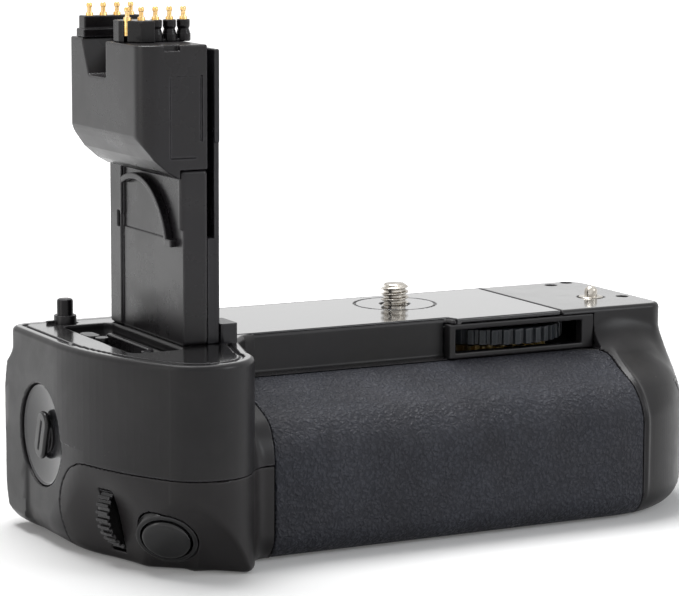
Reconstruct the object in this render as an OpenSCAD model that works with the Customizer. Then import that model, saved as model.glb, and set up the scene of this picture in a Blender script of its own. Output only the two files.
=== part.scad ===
// Camera battery grip: a vertical grip body with a battery stalk, in millimetres.
// X runs along the length, the front faces -Y, Z is up from the resting face.

/* [Body] */
// Length of the control end beside the two battery packs
control_l = 38.4; // [38:0.2:42]
// Depth of the body around a battery pack, front and back together
around_d = 37.8; // [37.4:0.2:41]
// Height of the attachment drive and the deck over the batteries
drive_h = 17.4; // [17.2:0.1:19]
// Wall thickness of the mouldings
wall = 2.2; // [1.8:0.1:2.4]
// Setback of the front grip surface from the tip of the control end
grip_set = 8.6; // [7:0.2:9.4]
// Setback of the recessed front band from the tip of the control end
band_set = 31.6; // [31:0.2:33]
// Setback of the wheel housing face from the tip of the control end
housing_set = 29.1; // [28.6:0.1:29.6]
// Setback of the rear wall from the thumb rest
rear_set = 8.1; // [7.4:0.1:8.6]
// Running gap between moulded pieces
gap = 0.3; // [0.25:0.05:0.4]

/* [Grip form] */
// Radius of the shoulder along the front grip
shoulder_r = 9.5; // [8:0.5:10]
// Height of the centre of the shoulder radius
shoulder_z = 21.5; // [20.5:0.5:22]
// Slope of the grip above the shoulder, in degrees
grip_slope = 21; // [19:1:23]
// Radius of the lower edge of the grip
foot_r = 6.5; // [5:0.5:7]
// Radius of the front corner at the battery end, seen from above
end_r = 30; // [28:0.5:31]
// Step between the deck and the lower bulge at the battery end
end_step = 5; // [4:0.5:6]
// Thickness of the leather-grained grip skin
skin_t = 1; // [0.8:0.1:1.2]
// Distance of the left edge of the grip skin from the left end
skin_left = 37.5; // [37:0.5:39]
// Distance of the right edge of the grip skin from the right end
skin_right = 23; // [21:0.5:26]

/* [Control end] */
// Radius of the long side arc of the control end
side_r = 65; // [63:1:68]
// Radius of the tip of the control end
nose_r = 11.5; // [11:0.5:12]
// Turn of the dial facet from the front to the left, in degrees
dial_turn = 71.6; // [70:0.2:73]
// Lean of the dial facet, in degrees
dial_lean = 17; // [16:0.5:18]
// Turn of the shutter facet from the front to the left, in degrees
shutter_turn = 40; // [39:0.5:41]
// Lean of the shutter facet, in degrees
shutter_lean = 32.5; // [31.5:0.5:33.5]
// Height of the seam of the control cover
seam_z = 21; // [20.6:0.2:22]

/* [Controls] */
// Radius of the shutter button
shutter_r = 5.2; // [4.8:0.1:5.4]
// Travel of the shutter button
shutter_travel = 1.2; // [0.8:0.1:1.4]
// Radius of the main dial
dial_r = 9; // [8.6:0.1:9.2]
// Thickness of the main dial
dial_t = 3.6; // [3:0.1:4]
// Radius of the power switch escutcheon
power_r = 11; // [10:0.2:11.4]
// Length of the bar on the power switch
power_bar = 11; // [10:0.5:12]
// Radius of each rear button
rear_button_r = 3.2; // [2.8:0.1:3.4]
// Travel of each rear button
rear_button_travel = 0.6; // [0.4:0.1:0.8]

/* [Attachment drive] */
// Major radius of the camera screw, quarter inch
screw_r = 3.175; // [3:0.025:3.3]
// Height of the camera screw above the deck
screw_h = 4.8; // [4:0.2:5.4]
// Radius of the knurled attachment wheel
wheel_r = 17.5; // [17:0.1:17.6]
// Thickness of the attachment wheel
wheel_t = 3.4; // [3:0.1:3.6]
// Tooth module of the two gears
tooth_m = 1; // [0.98:0.01:1.02]
// Radius of the axles
axle_r = 2; // [1.8:0.1:2.2]
// Running clearance of shafts in their bores
fit = 0.05; // [0.03:0.01:0.08]

/* [Stalk] */
// Length of the stalk from front to back
stalk_d = 38; // [37:0.2:38.4]
// Thickness of the stalk column
stalk_t = 9; // [8.8:0.1:9.6]
// Overhang of the contact block over the column
block_over = 9; // [8:0.2:10]
// Height of the stalk rim above the deck
stalk_h = 63; // [61:0.5:65]
// Height of the contact strips above the rim
strip_h = 4.6; // [4:0.2:5]
// Length of the contact pins above their strips
pin_h = 2.8; // [2.4:0.1:3]
// Spacing of the contact pins
pin_pitch = 3.2; // [3:0.05:3.2]

/* [Batteries] */
// Length of one battery pack
pack_l = 56.8; // [56:0.2:57]
// Width of one battery pack
pack_w = 38.4; // [38:0.1:38.6]
// Thickness of one battery pack
pack_h = 21; // [20.6:0.1:21.2]

/* [Hidden] */
$fn = 64;

// The body is sized by the packs that it holds
socket_deep = 5;
tray_z = socket_deep + 0.2;
tray_floor = 1.3;
pack_z = tray_z + tray_floor + 0.1;
body_w = 2*pack_l + control_l;
body_d = pack_w + around_d;
deck_h = pack_z + pack_h + drive_h;
left = -body_w/2;
right = body_w/2;
nose = -body_d/2;
back = body_d/2;
grip_y = nose + grip_set;
band_y = nose + band_set;
housing_y = nose + housing_set;
rear_y = back - rear_set;
slop = 0.01;
big = 200;

// Control end, seen from above
side_c = [left + side_r, nose + 41.1];
nose_y = nose + nose_r;
nose_lean = asin((side_c[1] - nose_y)/(side_r - nose_r));
nose_c = [side_c[0] - (side_r - nose_r)*cos(nose_lean), nose_y];
nose_tip = [side_c[0] - side_r*cos(nose_lean), side_c[1] - side_r*sin(nose_lean)];
drum_x = nose_c[0] + nose_r;

// Facets of the control end: outward normal and its distance from the origin
dial_at = [left + 5.5, nose + 23.9, 9.2];
shutter_at = [left + 12.3, nose + 10, 7.7];
function facet_n(turn, lean) = [-sin(turn)*cos(lean), -cos(turn)*cos(lean), -sin(lean)];
dial_n = facet_n(dial_turn, dial_lean);
shutter_gap = 0.35;
shutter_proud = 0.9;
collar_w = 1.1;
collar_deep = 6.5;
cup_deep = 5;
stem_r = 1.8;
stem_l = 9;
switch_z = [-12.5, -stem_l - shutter_travel - gap];
dial_sunk = 7;
dial_teeth = 34;
dial_axle_r = 1.2;
cheek_t = 1.2;

// Battery bay and tray, lying along X behind the right end
tray_wall = 1.4;
floor_t = 2.2;
pack_gap = 0.3;
bay_gap = 0.4;
bay_wall = 1.3;
cap_t = 9;
tray_side = 11;
tray_half = pack_w/2 + pack_gap + tray_wall;
bay_half = tray_half + bay_gap;
bay_y = rear_y - 4.6 - bay_wall - bay_half;
bay_top = pack_z + pack_h + 1;
cap_x = right - cap_t;
pack_b_x = cap_x - pack_gap - pack_l;
pack_a_x = pack_b_x - pack_gap - pack_l;
tray_x = pack_a_x - pack_gap - tray_wall;
bay_x = tray_x - 2.2;
bay_end = cap_x - 0.5;
cap_top = bay_top - bay_gap;
knob_c = [bay_y + 2, pack_z + 9.6];
knob_r = 8.4;
knob_deep = 3.2;
bolt_t = 1.8;
bolt_w = 4.4;
bolt_in = [-cap_t + 0.6, -cap_t + 0.6 + bolt_t];
bolt_reach = bay_top + 0.9 - knob_c[1];
bolt_hub = 3.2;

// Attachment drive
wheel_teeth = 26;
screw_teeth = 16;
wheel_z = deck_h - 6.8;
wheel_proud = 0.5;
wheel_c = [right - 43, housing_y - wheel_proud + wheel_r];
shank_r = screw_r - 0.2;
gear_d = tooth_m*(wheel_teeth + screw_teeth)/2;
drive_turn = 154.7;
screw_c = wheel_c + gear_d*[cos(drive_turn), sin(drive_turn)];
gear_t = 3.2;
gear_z = wheel_z - 1 - gear_t;
frame_t = 1.8;
frame_z = gear_z - 1 - frame_t;
plate_t = 1.8;
plate_z = deck_h - plate_t;
plate_x = [left + 36, right - 33];
plate_y = [band_y + 0.9, rear_y - 1.4];
ledge_t = 1.2;
post_r = 2;
well_x = [plate_x[0] + 5, plate_x[1] - 2.4];
well_y = [plate_y[0] + 2.4, plate_y[1] - 1.2];
window_x = [wheel_c[0] - 15, wheel_c[0] + 16.5];
window_z = [wheel_z - 0.8, wheel_z + wheel_t + 0.8];
housing_x = [window_x[0] - 2, window_x[1] + 2];
housing_z = [window_z[0] - 1.4, window_z[1] + 1.4];
frame_posts = [screw_c + [-5, -17.6], screw_c + [-12, -3], screw_c + [8.6, 8.3]];
frame_x = [screw_c[0] - 14.6, wheel_c[0] + 6];
frame_y = [screw_c[1] - 20.6, screw_c[1] + 10.4];
clip_t = 0.8;

// Stalk on the deck of the control end
stalk_x = left + 30.8;
col_x = stalk_x - stalk_t;
block_x = col_x - block_over;
stalk_y = [nose + 23.1, nose + 23.1 + stalk_d];
rim_z = deck_h + stalk_h;
rail_t = 1.2;
groove_t = 1.5;
rail_x = stalk_x - rail_t;
groove_z = deck_h + 22.5;
block_z = rim_z - 19;
col_wall = 1.6;
joint_z = rim_z - 26;
recess_deep = 3.2;
recess = [[left + 9.5, col_x - 0.6], [stalk_y[0] - 2.5, stalk_y[1] - 2]];
recess_z = deck_h - recess_deep;
notch_y = [stalk_y[0] + 18.4, stalk_y[1] - 5.8];
notch_z = rim_z - 7.7;
row_x = block_x + 2.6;
rear_row_y = stalk_y[1] - 5.2;
front_row_y = stalk_y[0] + 12.5;
pin_r = 0.8;
pin_tip_r = 0.5;
pin_travel = 1.2;
arch_c = [stalk_y[0] + 22.5, deck_h + 17];
arch_r = 17.4;
arch_rib = 1.3;
peg_c = [left + 12, stalk_y[1] + 2.1];
peg_r = 1.8;
peg_collar_r = 2.5;
peg_h = 5.4;
peg_travel = 2.5;
locating_c = [right - 16, nose + 43.8];
locating_r = 1.5;
locating_h = 2.6;

// Power switch on the left end
power_c = [nose + 49, deck_h - 21.5];
power_seat = 3.2;
power_floor = 1.9;
power_bar_z = -power_floor + 0.6;
power_boss = 5;
power_hub = 4;
power_bar_w = 5.4;

// Rear buttons
rear_buttons = [[left + 13, deck_h - 14], [left + 24, deck_h - 12], [left + 34, deck_h - 14]];
thumb_x = [left + 4, left + 42];
button_flange = [rear_y - wall - 1.5, rear_y - wall - gap];
button_board_y = button_flange[0] - rear_button_travel - gap - 1;

// Small fasteners and inner pieces
small_screw_r = 1.1;
head_r = 1.9;
head_t = 0.9;
socket_c = [screw_c[0], bay_y];
socket_r = 6;
socket_bore_r = 2.55;
foot_plate = [[left + skin_left + 3, right - 12], [grip_y + 6.7, rear_y - 6.7]];
foot_inner = [foot_plate[0] + [5, -5], foot_plate[1] + [5, -5]];
case_posts = [for (x = foot_plate[0] + [3.4, -3.4]) for (y = foot_plate[1] + [2.4, -2.4]) [x, y]];
board_x = bay_x - bay_wall - 3.2;
board_t = 1.6;
harness_t = 0.4;

// Two values set off from c
function pair(c, off) = [c + off[0], c + off[1]];

// A flat box between two corners
module span(x, y, z) {
    translate([x[0], y[0], z[0]]) cube([x[1] - x[0], y[1] - y[0], z[1] - z[0]]);
}

// A rectangle with round corners
module round_rect(x, y, r) {
    translate([x[0] + r, y[0]]) square([x[1] - x[0] - 2*r, y[1] - y[0]]);
    translate([x[0], y[0] + r]) square([x[1] - x[0], y[1] - y[0] - 2*r]);
    for (cx = [x[0] + r, x[1] - r])
        for (cy = [y[0] + r, y[1] - r])
            translate([cx, cy]) circle(r);
}

module round_block(x, y, z, r) {
    translate([0, 0, z[0]]) linear_extrude(z[1] - z[0]) round_rect(x, y, r);
}

module disc(at, z, r) {
    translate([at[0], at[1], z[0]]) cylinder(h = z[1] - z[0], r = r);
}

// Points of an arc about c
function arc(c, r, a0, a1, n) = [for (i = [0:n]) let (a = a0 + (a1 - a0)*i/n) c + r*[cos(a), sin(a)]];

// Puts +Z along an outward facet normal, with +X level and +Y up the slope
module aim(at, turn, lean) {
    translate(at) rotate([0, 0, -turn]) rotate([90 + lean, 0, 0]) children();
}

// All that lies outside a facet, moved in by t
module beyond(at, turn, lean, t) {
    aim(at, turn, lean) translate([-big/2, -big/2, -t]) cube([big, big, 60]);
}

// An outline drawn in Y and Z, run along X
module run_x(x) {
    translate([x[0], 0, 0]) rotate([90, 0, 90]) linear_extrude(x[1] - x[0]) children();
}

// Plan of the control end, moved in by t
module drum_plan(t) {
    translate(nose_c) circle(nose_r - t, $fn = 96);
    intersection() {
        translate(side_c) circle(side_r - t, $fn = 180);
        translate([left + t, nose_tip[1] + t*sin(nose_lean)])
            square([nose_c[0] - left - t, rear_y - t - nose_tip[1] - t*sin(nose_lean)]);
    }
    polygon([[nose_c[0], nose_c[1]], [drum_x - t, nose_c[1]], [drum_x + 4.5 - t, band_y - 5.5],
        [drum_x + 8 - t, band_y - 1.5 + t], [drum_x + 11 - t, band_y + t], [drum_x + 11 - t, rear_y - t],
        [nose_c[0], rear_y - t]]);
}

// The control end with its two facets
module drum_form(t, z0, z1) {
    difference() {
        translate([0, 0, z0]) linear_extrude(z1 - z0) intersection() {
            drum_plan(t);
            round_rect([left + t, drum_x + 20], [nose - 5, rear_y - t], 5);
        }
        beyond(dial_at, dial_turn, dial_lean, t);
        beyond(shutter_at, shutter_turn, shutter_lean, t);
        translate([0, big/2, 0]) rotate([90, 0, 0]) linear_extrude(big) difference() {
            translate([left - 5, -5]) square([9 + slop, 9]);
            end_section(t);
            translate([left + 4, -5]) square(20);
        }
    }
}

// Section of the body below the deck, in Y and Z, moved in by t
module grip_section(t) {
    shoulder = [grip_y + shoulder_r, shoulder_z];
    up = 90 + grip_slope;
    top = shoulder + (shoulder_r - t)*[cos(up), sin(up)];
    reach = rear_y - 12 - top[0];
    rear_foot = [rear_y - foot_r, foot_r];
    polygon(concat(
        arc([grip_y + foot_r, foot_r], foot_r - t, 270, 180, 8),
        arc(shoulder, shoulder_r - t, 180, up, 8),
        [top + reach*[1, tan(grip_slope)], [rear_y - t, deck_h - t]],
        arc(rear_foot, foot_r - t, 0, -90, 8)));
}

// End profile of the body, in X and Z, moved in by t
module end_section(t) {
    r = 7.5;
    low = 4;
    polygon(concat(
        arc([left + low, low], low - t, 270, 180, 5),
        [[left + t, deck_h - t], [right - end_step - t, deck_h - t], [right - end_step - t, deck_h - 12.5]],
        arc([right - r, shoulder_z], r - t, 28, 0, 5),
        arc([right - r, r], r - t, 0, -90, 8)));
}

// Plan of the body below the band, moved in by t
module grip_plan(t) {
    corner = [right - end_r, grip_y + end_r];
    translate([left + 20, grip_y + t]) square([corner[0] - left - 20, rear_y - grip_y - 2*t]);
    translate(corner) circle(end_r - t, $fn = 128);
    round_rect([corner[0] - 20, right - t], [corner[1], rear_y - t], 7);
}

module grip_form(t) {
    intersection() {
        translate([0, 0, -1]) linear_extrude(deck_h) grip_plan(t);
        run_x([left + 20, right + 1]) grip_section(t);
        translate([0, big/2, 0]) rotate([90, 0, 0]) linear_extrude(big) end_section(t);
    }
}

// The upper body: recessed band on the left, housing face to the right
module upper_plan(t) {
    round_rect([drum_x, right - end_step - t], [band_y + t, rear_y - t], 5);
    round_rect([housing_x[0] + t, right - end_step - t], [housing_y + t, band_y + 12], 4);
}

module upper_form(t) {
    translate([0, 0, 24]) linear_extrude(deck_h - t - 24) upper_plan(t);
}

// Thumb rest that swells from the rear of the control end
module thumb_form(t) {
    mid = (thumb_x[0] + thumb_x[1])/2;
    r = (thumb_x[1] - thumb_x[0])/2;
    intersection() {
        run_x([thumb_x[0] + t, thumb_x[1] - t]) polygon(concat(
            [[rear_y - 10, deck_h - 8]],
            [[rear_y - t, deck_h - 8]],
            arc([back - 7, 21], 7 - t, 50, -30, 8),
            [[rear_y - t, 4], [rear_y - 10, 4]]));
        translate([mid, back - r - 1, 0]) cylinder(h = deck_h, r = r + 1 - t, $fn = 96);
    }
}

module outer_form(t) {
    drum_form(t, t, deck_h - t);
    grip_form(t);
    upper_form(t);
    thumb_form(t);
}

// Where the control cover takes the place of the body shell
module cover_zone(t) {
    y1 = dial_at[1] + 3.5;
    corner = 12;
    run_x([left - 5, left + skin_left - t]) {
        translate([nose - 5, -5]) square([y1 - nose + 5, seam_z + 5 - t]);
        translate([y1, seam_z - corner]) circle(corner - t);
        translate([y1 - 1, -5]) square([corner + 1 - t, seam_z - corner + 5]);
    }
}

// Where the front grip skin lies on the body
module skin_zone(t) {
    span([left + skin_left + t, right - skin_right - t], [grip_y - 5, band_y - 0.6 - t],
        [2.4 + t, deck_h - 9.3 - t]);
}

module skin_shell(t) {
    intersection() {
        difference() {
            grip_form(0);
            grip_form(skin_t);
        }
        skin_zone(t);
    }
}

module thumb_zone(t) {
    span([thumb_x[0] + 3 + t, thumb_x[1] - 3 - t], [rear_y + 1.2, back + 1], [9 + t, 27.5 - t]);
}

// Axis systems of the moving controls
module dial_frame() {
    aim(dial_at - dial_sunk*dial_n, dial_turn, dial_lean) children();
}

module shutter_frame() {
    aim(shutter_at, shutter_turn, shutter_lean) children();
}

module power_frame() {
    translate([left, power_c[0], power_c[1]]) rotate([0, -90, 0]) children();
}

module knob_frame() {
    translate([right, knob_c[0], knob_c[1]]) rotate([0, 90, 0]) children();
}

module thumb_skin_shell(t) {
    intersection() {
        difference() {
            thumb_form(0);
            thumb_form(skin_t);
        }
        thumb_zone(t);
    }
}

// Hollow of the body shell, less what stays solid in it
module hollow() {
    difference() {
        outer_form(wall);
        // backing of the front grip skin
        intersection() {
            skin_zone(-1);
            difference() {
                grip_form(0);
                grip_form(wall + skin_t);
            }
        }
        // backing of the thumb rest skin
        intersection() {
            thumb_zone(-1);
            difference() {
                thumb_form(0);
                thumb_form(wall + skin_t);
            }
        }
        // ledge under the top plate and floor of the hinge recess
        span(plate_x + [-2, 2], plate_y + [-2, 1], [plate_z - ledge_t, deck_h]);
        span(recess[0] + [-1.6, 0], recess[1] + [-1.6, 1.2], [recess_z - ledge_t, deck_h]);
        power_frame() translate([0, 0, -power_boss]) cylinder(h = power_boss, r = power_r + 1.5);
        for (p = case_posts) disc(p, [0, socket_deep - 0.3], head_r + 1);
    }
}

module main_body() {
    color("#2b2b2d") difference() {
        outer_form(0);
        hollow();
        cover_zone(0);
        skin_shell(0);
        thumb_skin_shell(0);
        span(plate_x + [-0.1, 0.1], plate_y + [-0.1, 0.1], [plate_z, deck_h + 1]);
        span(well_x, well_y, [plate_z - 4, deck_h]);
        span(housing_x + [-0.1, 0.1], [housing_y - 2, housing_y + wall + 1], housing_z + [-0.1, 0.1]);
        // opening for the stepped base plate
        round_block(foot_plate[0] + [-0.1, 0.1], foot_plate[1] + [-0.1, 0.1], [-1, floor_t/2], 3);
        round_block(foot_inner[0], foot_inner[1], [-1, floor_t + 1], 3);
        for (p = case_posts) disc(p, [0, socket_deep - 1], small_screw_r);
        // tray mouth at the battery end
        span([bay_end, right + 1], [bay_y - bay_half, bay_y + bay_half], [tray_z - gap, bay_top]);
        // stalk mouth, hinge recess and peg collar in the deck of the control end
        span([col_x + col_wall, rail_x - groove_t - col_wall], stalk_y + [col_wall, -col_wall],
            [deck_h - 8, deck_h + 1]);
        round_block(recess[0], recess[1], [recess_z, deck_h + 1], 2);
        disc(peg_c, [deck_h - 8, deck_h + 1], peg_collar_r);
        disc(locating_c, [deck_h - 8, deck_h + 1], locating_r);
        disc(locating_c, [deck_h - 0.4, deck_h + 1], locating_r + 1.4);
        power_frame() translate([0, 0, -power_seat]) cylinder(h = 10, r = power_r);
        power_frame() translate([0, 0, -power_boss - 1]) cylinder(h = 10, r = power_hub + gap);
        for (b = rear_buttons) translate([b[0], back + 2, b[1]]) rotate([90, 0, 0])
            cylinder(h = 16, r = rear_button_r + gap);
    }
}

module control_cover() {
    color("#2d2c2c") difference() {
        intersection() {
            outer_form(0);
            cover_zone(0.12);
        }
        hollow();
        shutter_frame() translate([0, 0, -big/2]) cylinder(h = big, r = shutter_r + shutter_gap + collar_w);
        dial_frame() rotate([0, 90, 0]) cylinder(h = dial_t + 0.8, r = dial_r + 0.4, center = true);
    }
}

module top_plate() {
    color("#303033") {
        difference() {
            span(plate_x, plate_y, [plate_z, deck_h]);
            disc(screw_c, [deck_h - 10, deck_h + 10], screw_r + 0.1);
            disc(wheel_c, [plate_z - 1, plate_z + 1], axle_r);
        }
        for (p = frame_posts) difference() {
            disc(p, [frame_z + frame_t, plate_z], post_r);
            disc(p, [frame_z, plate_z - 4], small_screw_r);
        }
    }
}

module base_plate() {
    rail = 2;
    color("#262628") {
        difference() {
            union() {
                round_block(foot_plate[0], foot_plate[1], [0, floor_t/2], 3);
                round_block(foot_inner[0] + [0.1, -0.1], foot_inner[1] + [0.1, -0.1], [0, floor_t], 3);
                disc(socket_c, [0, socket_deep - 0.4], socket_r + 2);
                for (y = pair(bay_y, [-14, 12]))
                    span(foot_plate[0] + [8, -8], [y, y + rail], [floor_t - slop, tray_z - gap]);
            }
            disc(socket_c, [-1, socket_deep + 1], socket_r);
            for (p = case_posts) {
                disc(p, [-1, 0.2 + head_t], head_r);
                disc(p, [0, floor_t], small_screw_r);
            }
        }
    }
}

module front_grip_skin() {
    color("#30333a") skin_shell(0.1);
}

module thumb_rest_skin() {
    color("#30333a") thumb_skin_shell(0.1);
}

module wheel_housing() {
    color("#29292b") difference() {
        span(housing_x, [housing_y, housing_y + wall + 0.6], housing_z);
        span(window_x, [housing_y - 2, housing_y + 8], window_z);
    }
}

// Sleeve that guides the battery tray, with a chamfer below the grip slope
module bay_frame() {
    color("#232325") difference() {
        intersection() {
            run_x([bay_x - bay_wall, bay_end]) bay_section(bay_wall);
            linear_extrude(deck_h) {
                grip_plan(wall + gap);
                translate([left + 10, grip_y + wall]) square([40, bay_y - grip_y + 30]);
            }
        }
        run_x([bay_x, bay_end + 1]) bay_section(0);
        span([bay_x, bay_end + 1], pair(bay_y, [-bay_half, bay_half]), [0, socket_deep + 1]);
    }
}

module bay_section(t) {
    y = [bay_y - bay_half - t, bay_y + bay_half + t];
    top = bay_top + t;
    low = socket_deep;
    cut = [4.4, 2.2];
    polygon([[y[0], low], [y[0], top - cut[1]], [y[0] + cut[0], top], [y[1], top], [y[1], low]]);
}

module gear_frame() {
    color("#8b8b88") difference() {
        span(frame_x, frame_y, [frame_z, frame_z + frame_t]);
        disc(wheel_c, [frame_z - 1, frame_z + 3], axle_r);
        disc(screw_c, [frame_z - 1, frame_z + 3], axle_r + fit);
        for (p = frame_posts) disc(p, [frame_z - 1, frame_z + 3], small_screw_r);
    }
}

// Ridged rim of the attachment wheel
module ridged(r, n, deep, duty) {
    polygon([for (i = [0:n - 1]) for (k = [[0, r - deep], [0.12, r], [duty, r], [duty + 0.12, r - deep]])
        let (a = 360*(i + k[0])/n) k[1]*[cos(a), sin(a)]]);
}

module attachment_wheel() {
    color("#3a3a3c") translate([wheel_c[0], wheel_c[1], wheel_z]) linear_extrude(wheel_t) difference() {
        ridged(wheel_r, 40, 0.8, 0.6);
        circle(axle_r + fit);
    }
}

// Straight-flanked gear outline with thinned teeth
module gear_outline(teeth) {
    pitch = tooth_m*teeth/2;
    root = pitch - 1.15*tooth_m;
    tip = pitch + 0.75*tooth_m;
    step = 360/teeth;
    tooth = [[-0.33, root], [-0.2, pitch], [-0.1, tip], [0.1, tip], [0.2, pitch], [0.33, root]];
    polygon([for (i = [0:teeth - 1]) for (k = tooth)
        let (a = step*(i + k[0])) k[1]*[cos(a), sin(a)]]);
}

module wheel_gear() {
    color("#c8c4ba") translate([wheel_c[0], wheel_c[1], 0]) difference() {
        union() {
            translate([0, 0, gear_z]) linear_extrude(gear_t) rotate(drive_turn) gear_outline(wheel_teeth);
            translate([0, 0, gear_z]) cylinder(h = wheel_z - gear_z, r = 5);
        }
        translate([0, 0, gear_z - 1]) cylinder(h = 20, r = axle_r + fit);
    }
}

module wheel_axle() {
    color("silver") disc(wheel_c, [frame_z, plate_z + 1], axle_r);
}

module camera_screw() {
    tip = 0.8;
    color("silver") {
        disc(screw_c, [frame_z + frame_t + 0.2, deck_h], shank_r);
        disc(screw_c, [deck_h - slop, deck_h + screw_h - tip], screw_r);
        translate([screw_c[0], screw_c[1], deck_h + screw_h - tip])
            cylinder(h = tip, r1 = screw_r, r2 = screw_r - tip);
        disc(screw_c, [frame_z, frame_z + frame_t + 0.2 + slop], axle_r);
    }
}

module screw_gear() {
    color("#c8c4ba") translate([screw_c[0], screw_c[1], 0]) difference() {
        union() {
            translate([0, 0, gear_z]) linear_extrude(gear_t)
                rotate(drive_turn + 180 + 180/screw_teeth) gear_outline(screw_teeth);
            translate([0, 0, gear_z]) cylinder(h = gear_t + 0.5, r = 5);
        }
        translate([0, 0, gear_z - 1]) cylinder(h = 20, r = shank_r);
    }
}

module screw_clip() {
    color("#9a9a98") difference() {
        disc(screw_c, [plate_z - 0.4 - clip_t, plate_z - 0.4], screw_r + 2);
        disc(screw_c, [plate_z - 5, plate_z + 1], shank_r);
    }
}

module locating_pin() {
    tip = 0.9;
    color("silver") {
        disc(locating_c, [deck_h - wall, deck_h + locating_h - tip], locating_r);
        translate([locating_c[0], locating_c[1], deck_h + locating_h - tip])
            cylinder(h = tip, r1 = locating_r, r2 = 0.6);
        disc(locating_c, [deck_h - 0.4, deck_h + 0.2], locating_r + 1.4);
    }
}

module tripod_socket() {
    color("#b9b9b5") difference() {
        disc(socket_c, [0.2, socket_deep - 0.1], socket_r);
        disc(socket_c, [-1, socket_deep + 1], socket_bore_r);
    }
}

module stalk_column() {
    x = [col_x, rail_x - groove_t];
    pocket = [stalk_y[0] + 1.6, stalk_y[1] - 12];
    color("#29292b") difference() {
        round_block(x, stalk_y, [deck_h, joint_z], 1.2);
        span(x + [col_wall, -col_wall], stalk_y + [col_wall, -col_wall], [deck_h - 1, joint_z + 1]);
        // storage for the camera's battery door
        span([col_x - 1, col_x + 0.8], pocket, [deck_h + 22, joint_z - 2]);
        run_x([col_x - 1, col_x + 0.8]) arch_outline();
        span([col_x - 1, col_x + 0.8], [stalk_y[1] - 11, stalk_y[1] - 6.4], [deck_h + 25, deck_h + 34]);
        span([col_x - 1, col_x + 0.8], [stalk_y[1] - 6, stalk_y[1] - 4.6], [deck_h + 22, deck_h + 25]);
    }
}

// Arched rib that catches the camera's battery door
module arch_outline() {
    intersection() {
        translate(arch_c) difference() {
            circle(arch_r);
            circle(arch_r - arch_rib);
        }
        translate([stalk_y[0] + 3.6, arch_c[1] + 4]) square([stalk_d - 12, arch_r]);
    }
    translate([stalk_y[0] + 3.6, arch_c[1] + 3.6]) square([3.4, 1.6]);
}

module door_catch_arch() {
    color("#323234") run_x([col_x - 0.2, col_x + 0.8]) arch_outline();
}

module stalk_rail() {
    color("#2c2c2f") {
        round_block([rail_x, stalk_x], stalk_y, [deck_h, rim_z - 1], 0.4);
        span([rail_x - groove_t, rail_x + slop], stalk_y + [0.6, -0.6], [deck_h, groove_z]);
        span([rail_x - groove_t, rail_x + slop], stalk_y + [6, -6], [groove_z - slop, rim_z - 1]);
    }
}

module contact_block() {
    x = [col_x, rail_x - groove_t];
    color("#2b2a2b") difference() {
        union() {
            round_block(x, stalk_y, [joint_z, rim_z], 1.2);
            intersection() {
                translate([0, 0, joint_z - 5]) linear_extrude(60) {
                    round_rect([block_x, x[1]], stalk_y, 4);
                    round_rect([block_x, x[1]], stalk_y + [20, 0], 1.2);
                }
                translate([0, big/2, 0]) rotate([90, 0, 0]) linear_extrude(big) polygon([
                    [block_x, rim_z], [block_x, block_z], [block_x + 0.35*block_over, block_z - 4.8],
                    [col_x - slop, joint_z - 2], [col_x - slop, joint_z], [x[1], joint_z], [x[1], rim_z]]);
            }
        }
        // notch on the left face
        run_x([block_x - 1, block_x + 7]) polygon([[notch_y[0], rim_z + 1], [notch_y[0], notch_z],
            [notch_y[1] - 4.8, notch_z], [notch_y[1] + 0.6, rim_z + 1]]);
        // hollow over the column and latch notch in the front rim
        span(x + [col_wall, -col_wall], stalk_y + [col_wall, -col_wall], [joint_z - 1, rim_z - 2.4]);
        span([block_x + 5.4, block_x + 9], [stalk_y[0] - 1, stalk_y[0] + 1.4], [rim_z - 1.2, rim_z + 1]);
    }
}

module rear_contact_strip() {
    x = [row_x - 1.8, row_x + 3*pin_pitch + 1.8];
    color("#1f1d20") difference() {
        union() {
            span(x, pair(rear_row_y, [-1.5, 1.7]), [rim_z, rim_z + strip_h]);
            span(x + [-0.4, 0.4], pair(rear_row_y, [-2.1, 2.1]), [rim_z, rim_z + 0.4*strip_h]);
        }
        for (i = [0:3]) disc([row_x + i*pin_pitch, rear_row_y], [rim_z - 1, rim_z + 9], pin_r + fit);
    }
}

module front_contact_strip() {
    color("#1f1d20") difference() {
        union() {
            translate([0, 0, rim_z]) linear_extrude(strip_h) polygon([
                [row_x - 1.7, front_row_y + 3.4], [row_x - 1.7, front_row_y + 0.6],
                [row_x + 1.9, front_row_y - 3.6], [row_x + 4.8, front_row_y - 3.6],
                [row_x + 4.8, front_row_y + 3.4]]);
            span([row_x + 4.8 - slop, row_x + 4*pin_pitch + 1.2], pair(front_row_y, [-0.9, 0.9]),
                [rim_z, rim_z + 0.6]);
            for (i = [2:4]) {
                disc([row_x + i*pin_pitch, front_row_y], [rim_z, rim_z + strip_h], 1.4);
                disc([row_x + i*pin_pitch, front_row_y], [rim_z, rim_z + 0.35*strip_h], 1.55);
            }
        }
        for (i = [0:4]) disc([row_x + i*pin_pitch, front_row_y], [rim_z - 1, rim_z + 9], pin_r + fit);
    }
}

// One sprung contact: body in its strip and a thin tip
module contact_pin(at) {
    top = rim_z + strip_h + pin_h;
    disc(at, [rim_z + pin_travel + 0.2, top - 1.6], pin_r);
    disc(at, [top - 1.6 - slop, top], pin_tip_r);
}

module rear_contact_pins() {
    color("#e0b050") for (i = [0:3]) contact_pin([row_x + i*pin_pitch, rear_row_y]);
}

module front_contact_pins() {
    color("#e0b050") for (i = [0:4]) contact_pin([row_x + i*pin_pitch, front_row_y]);
}

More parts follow.
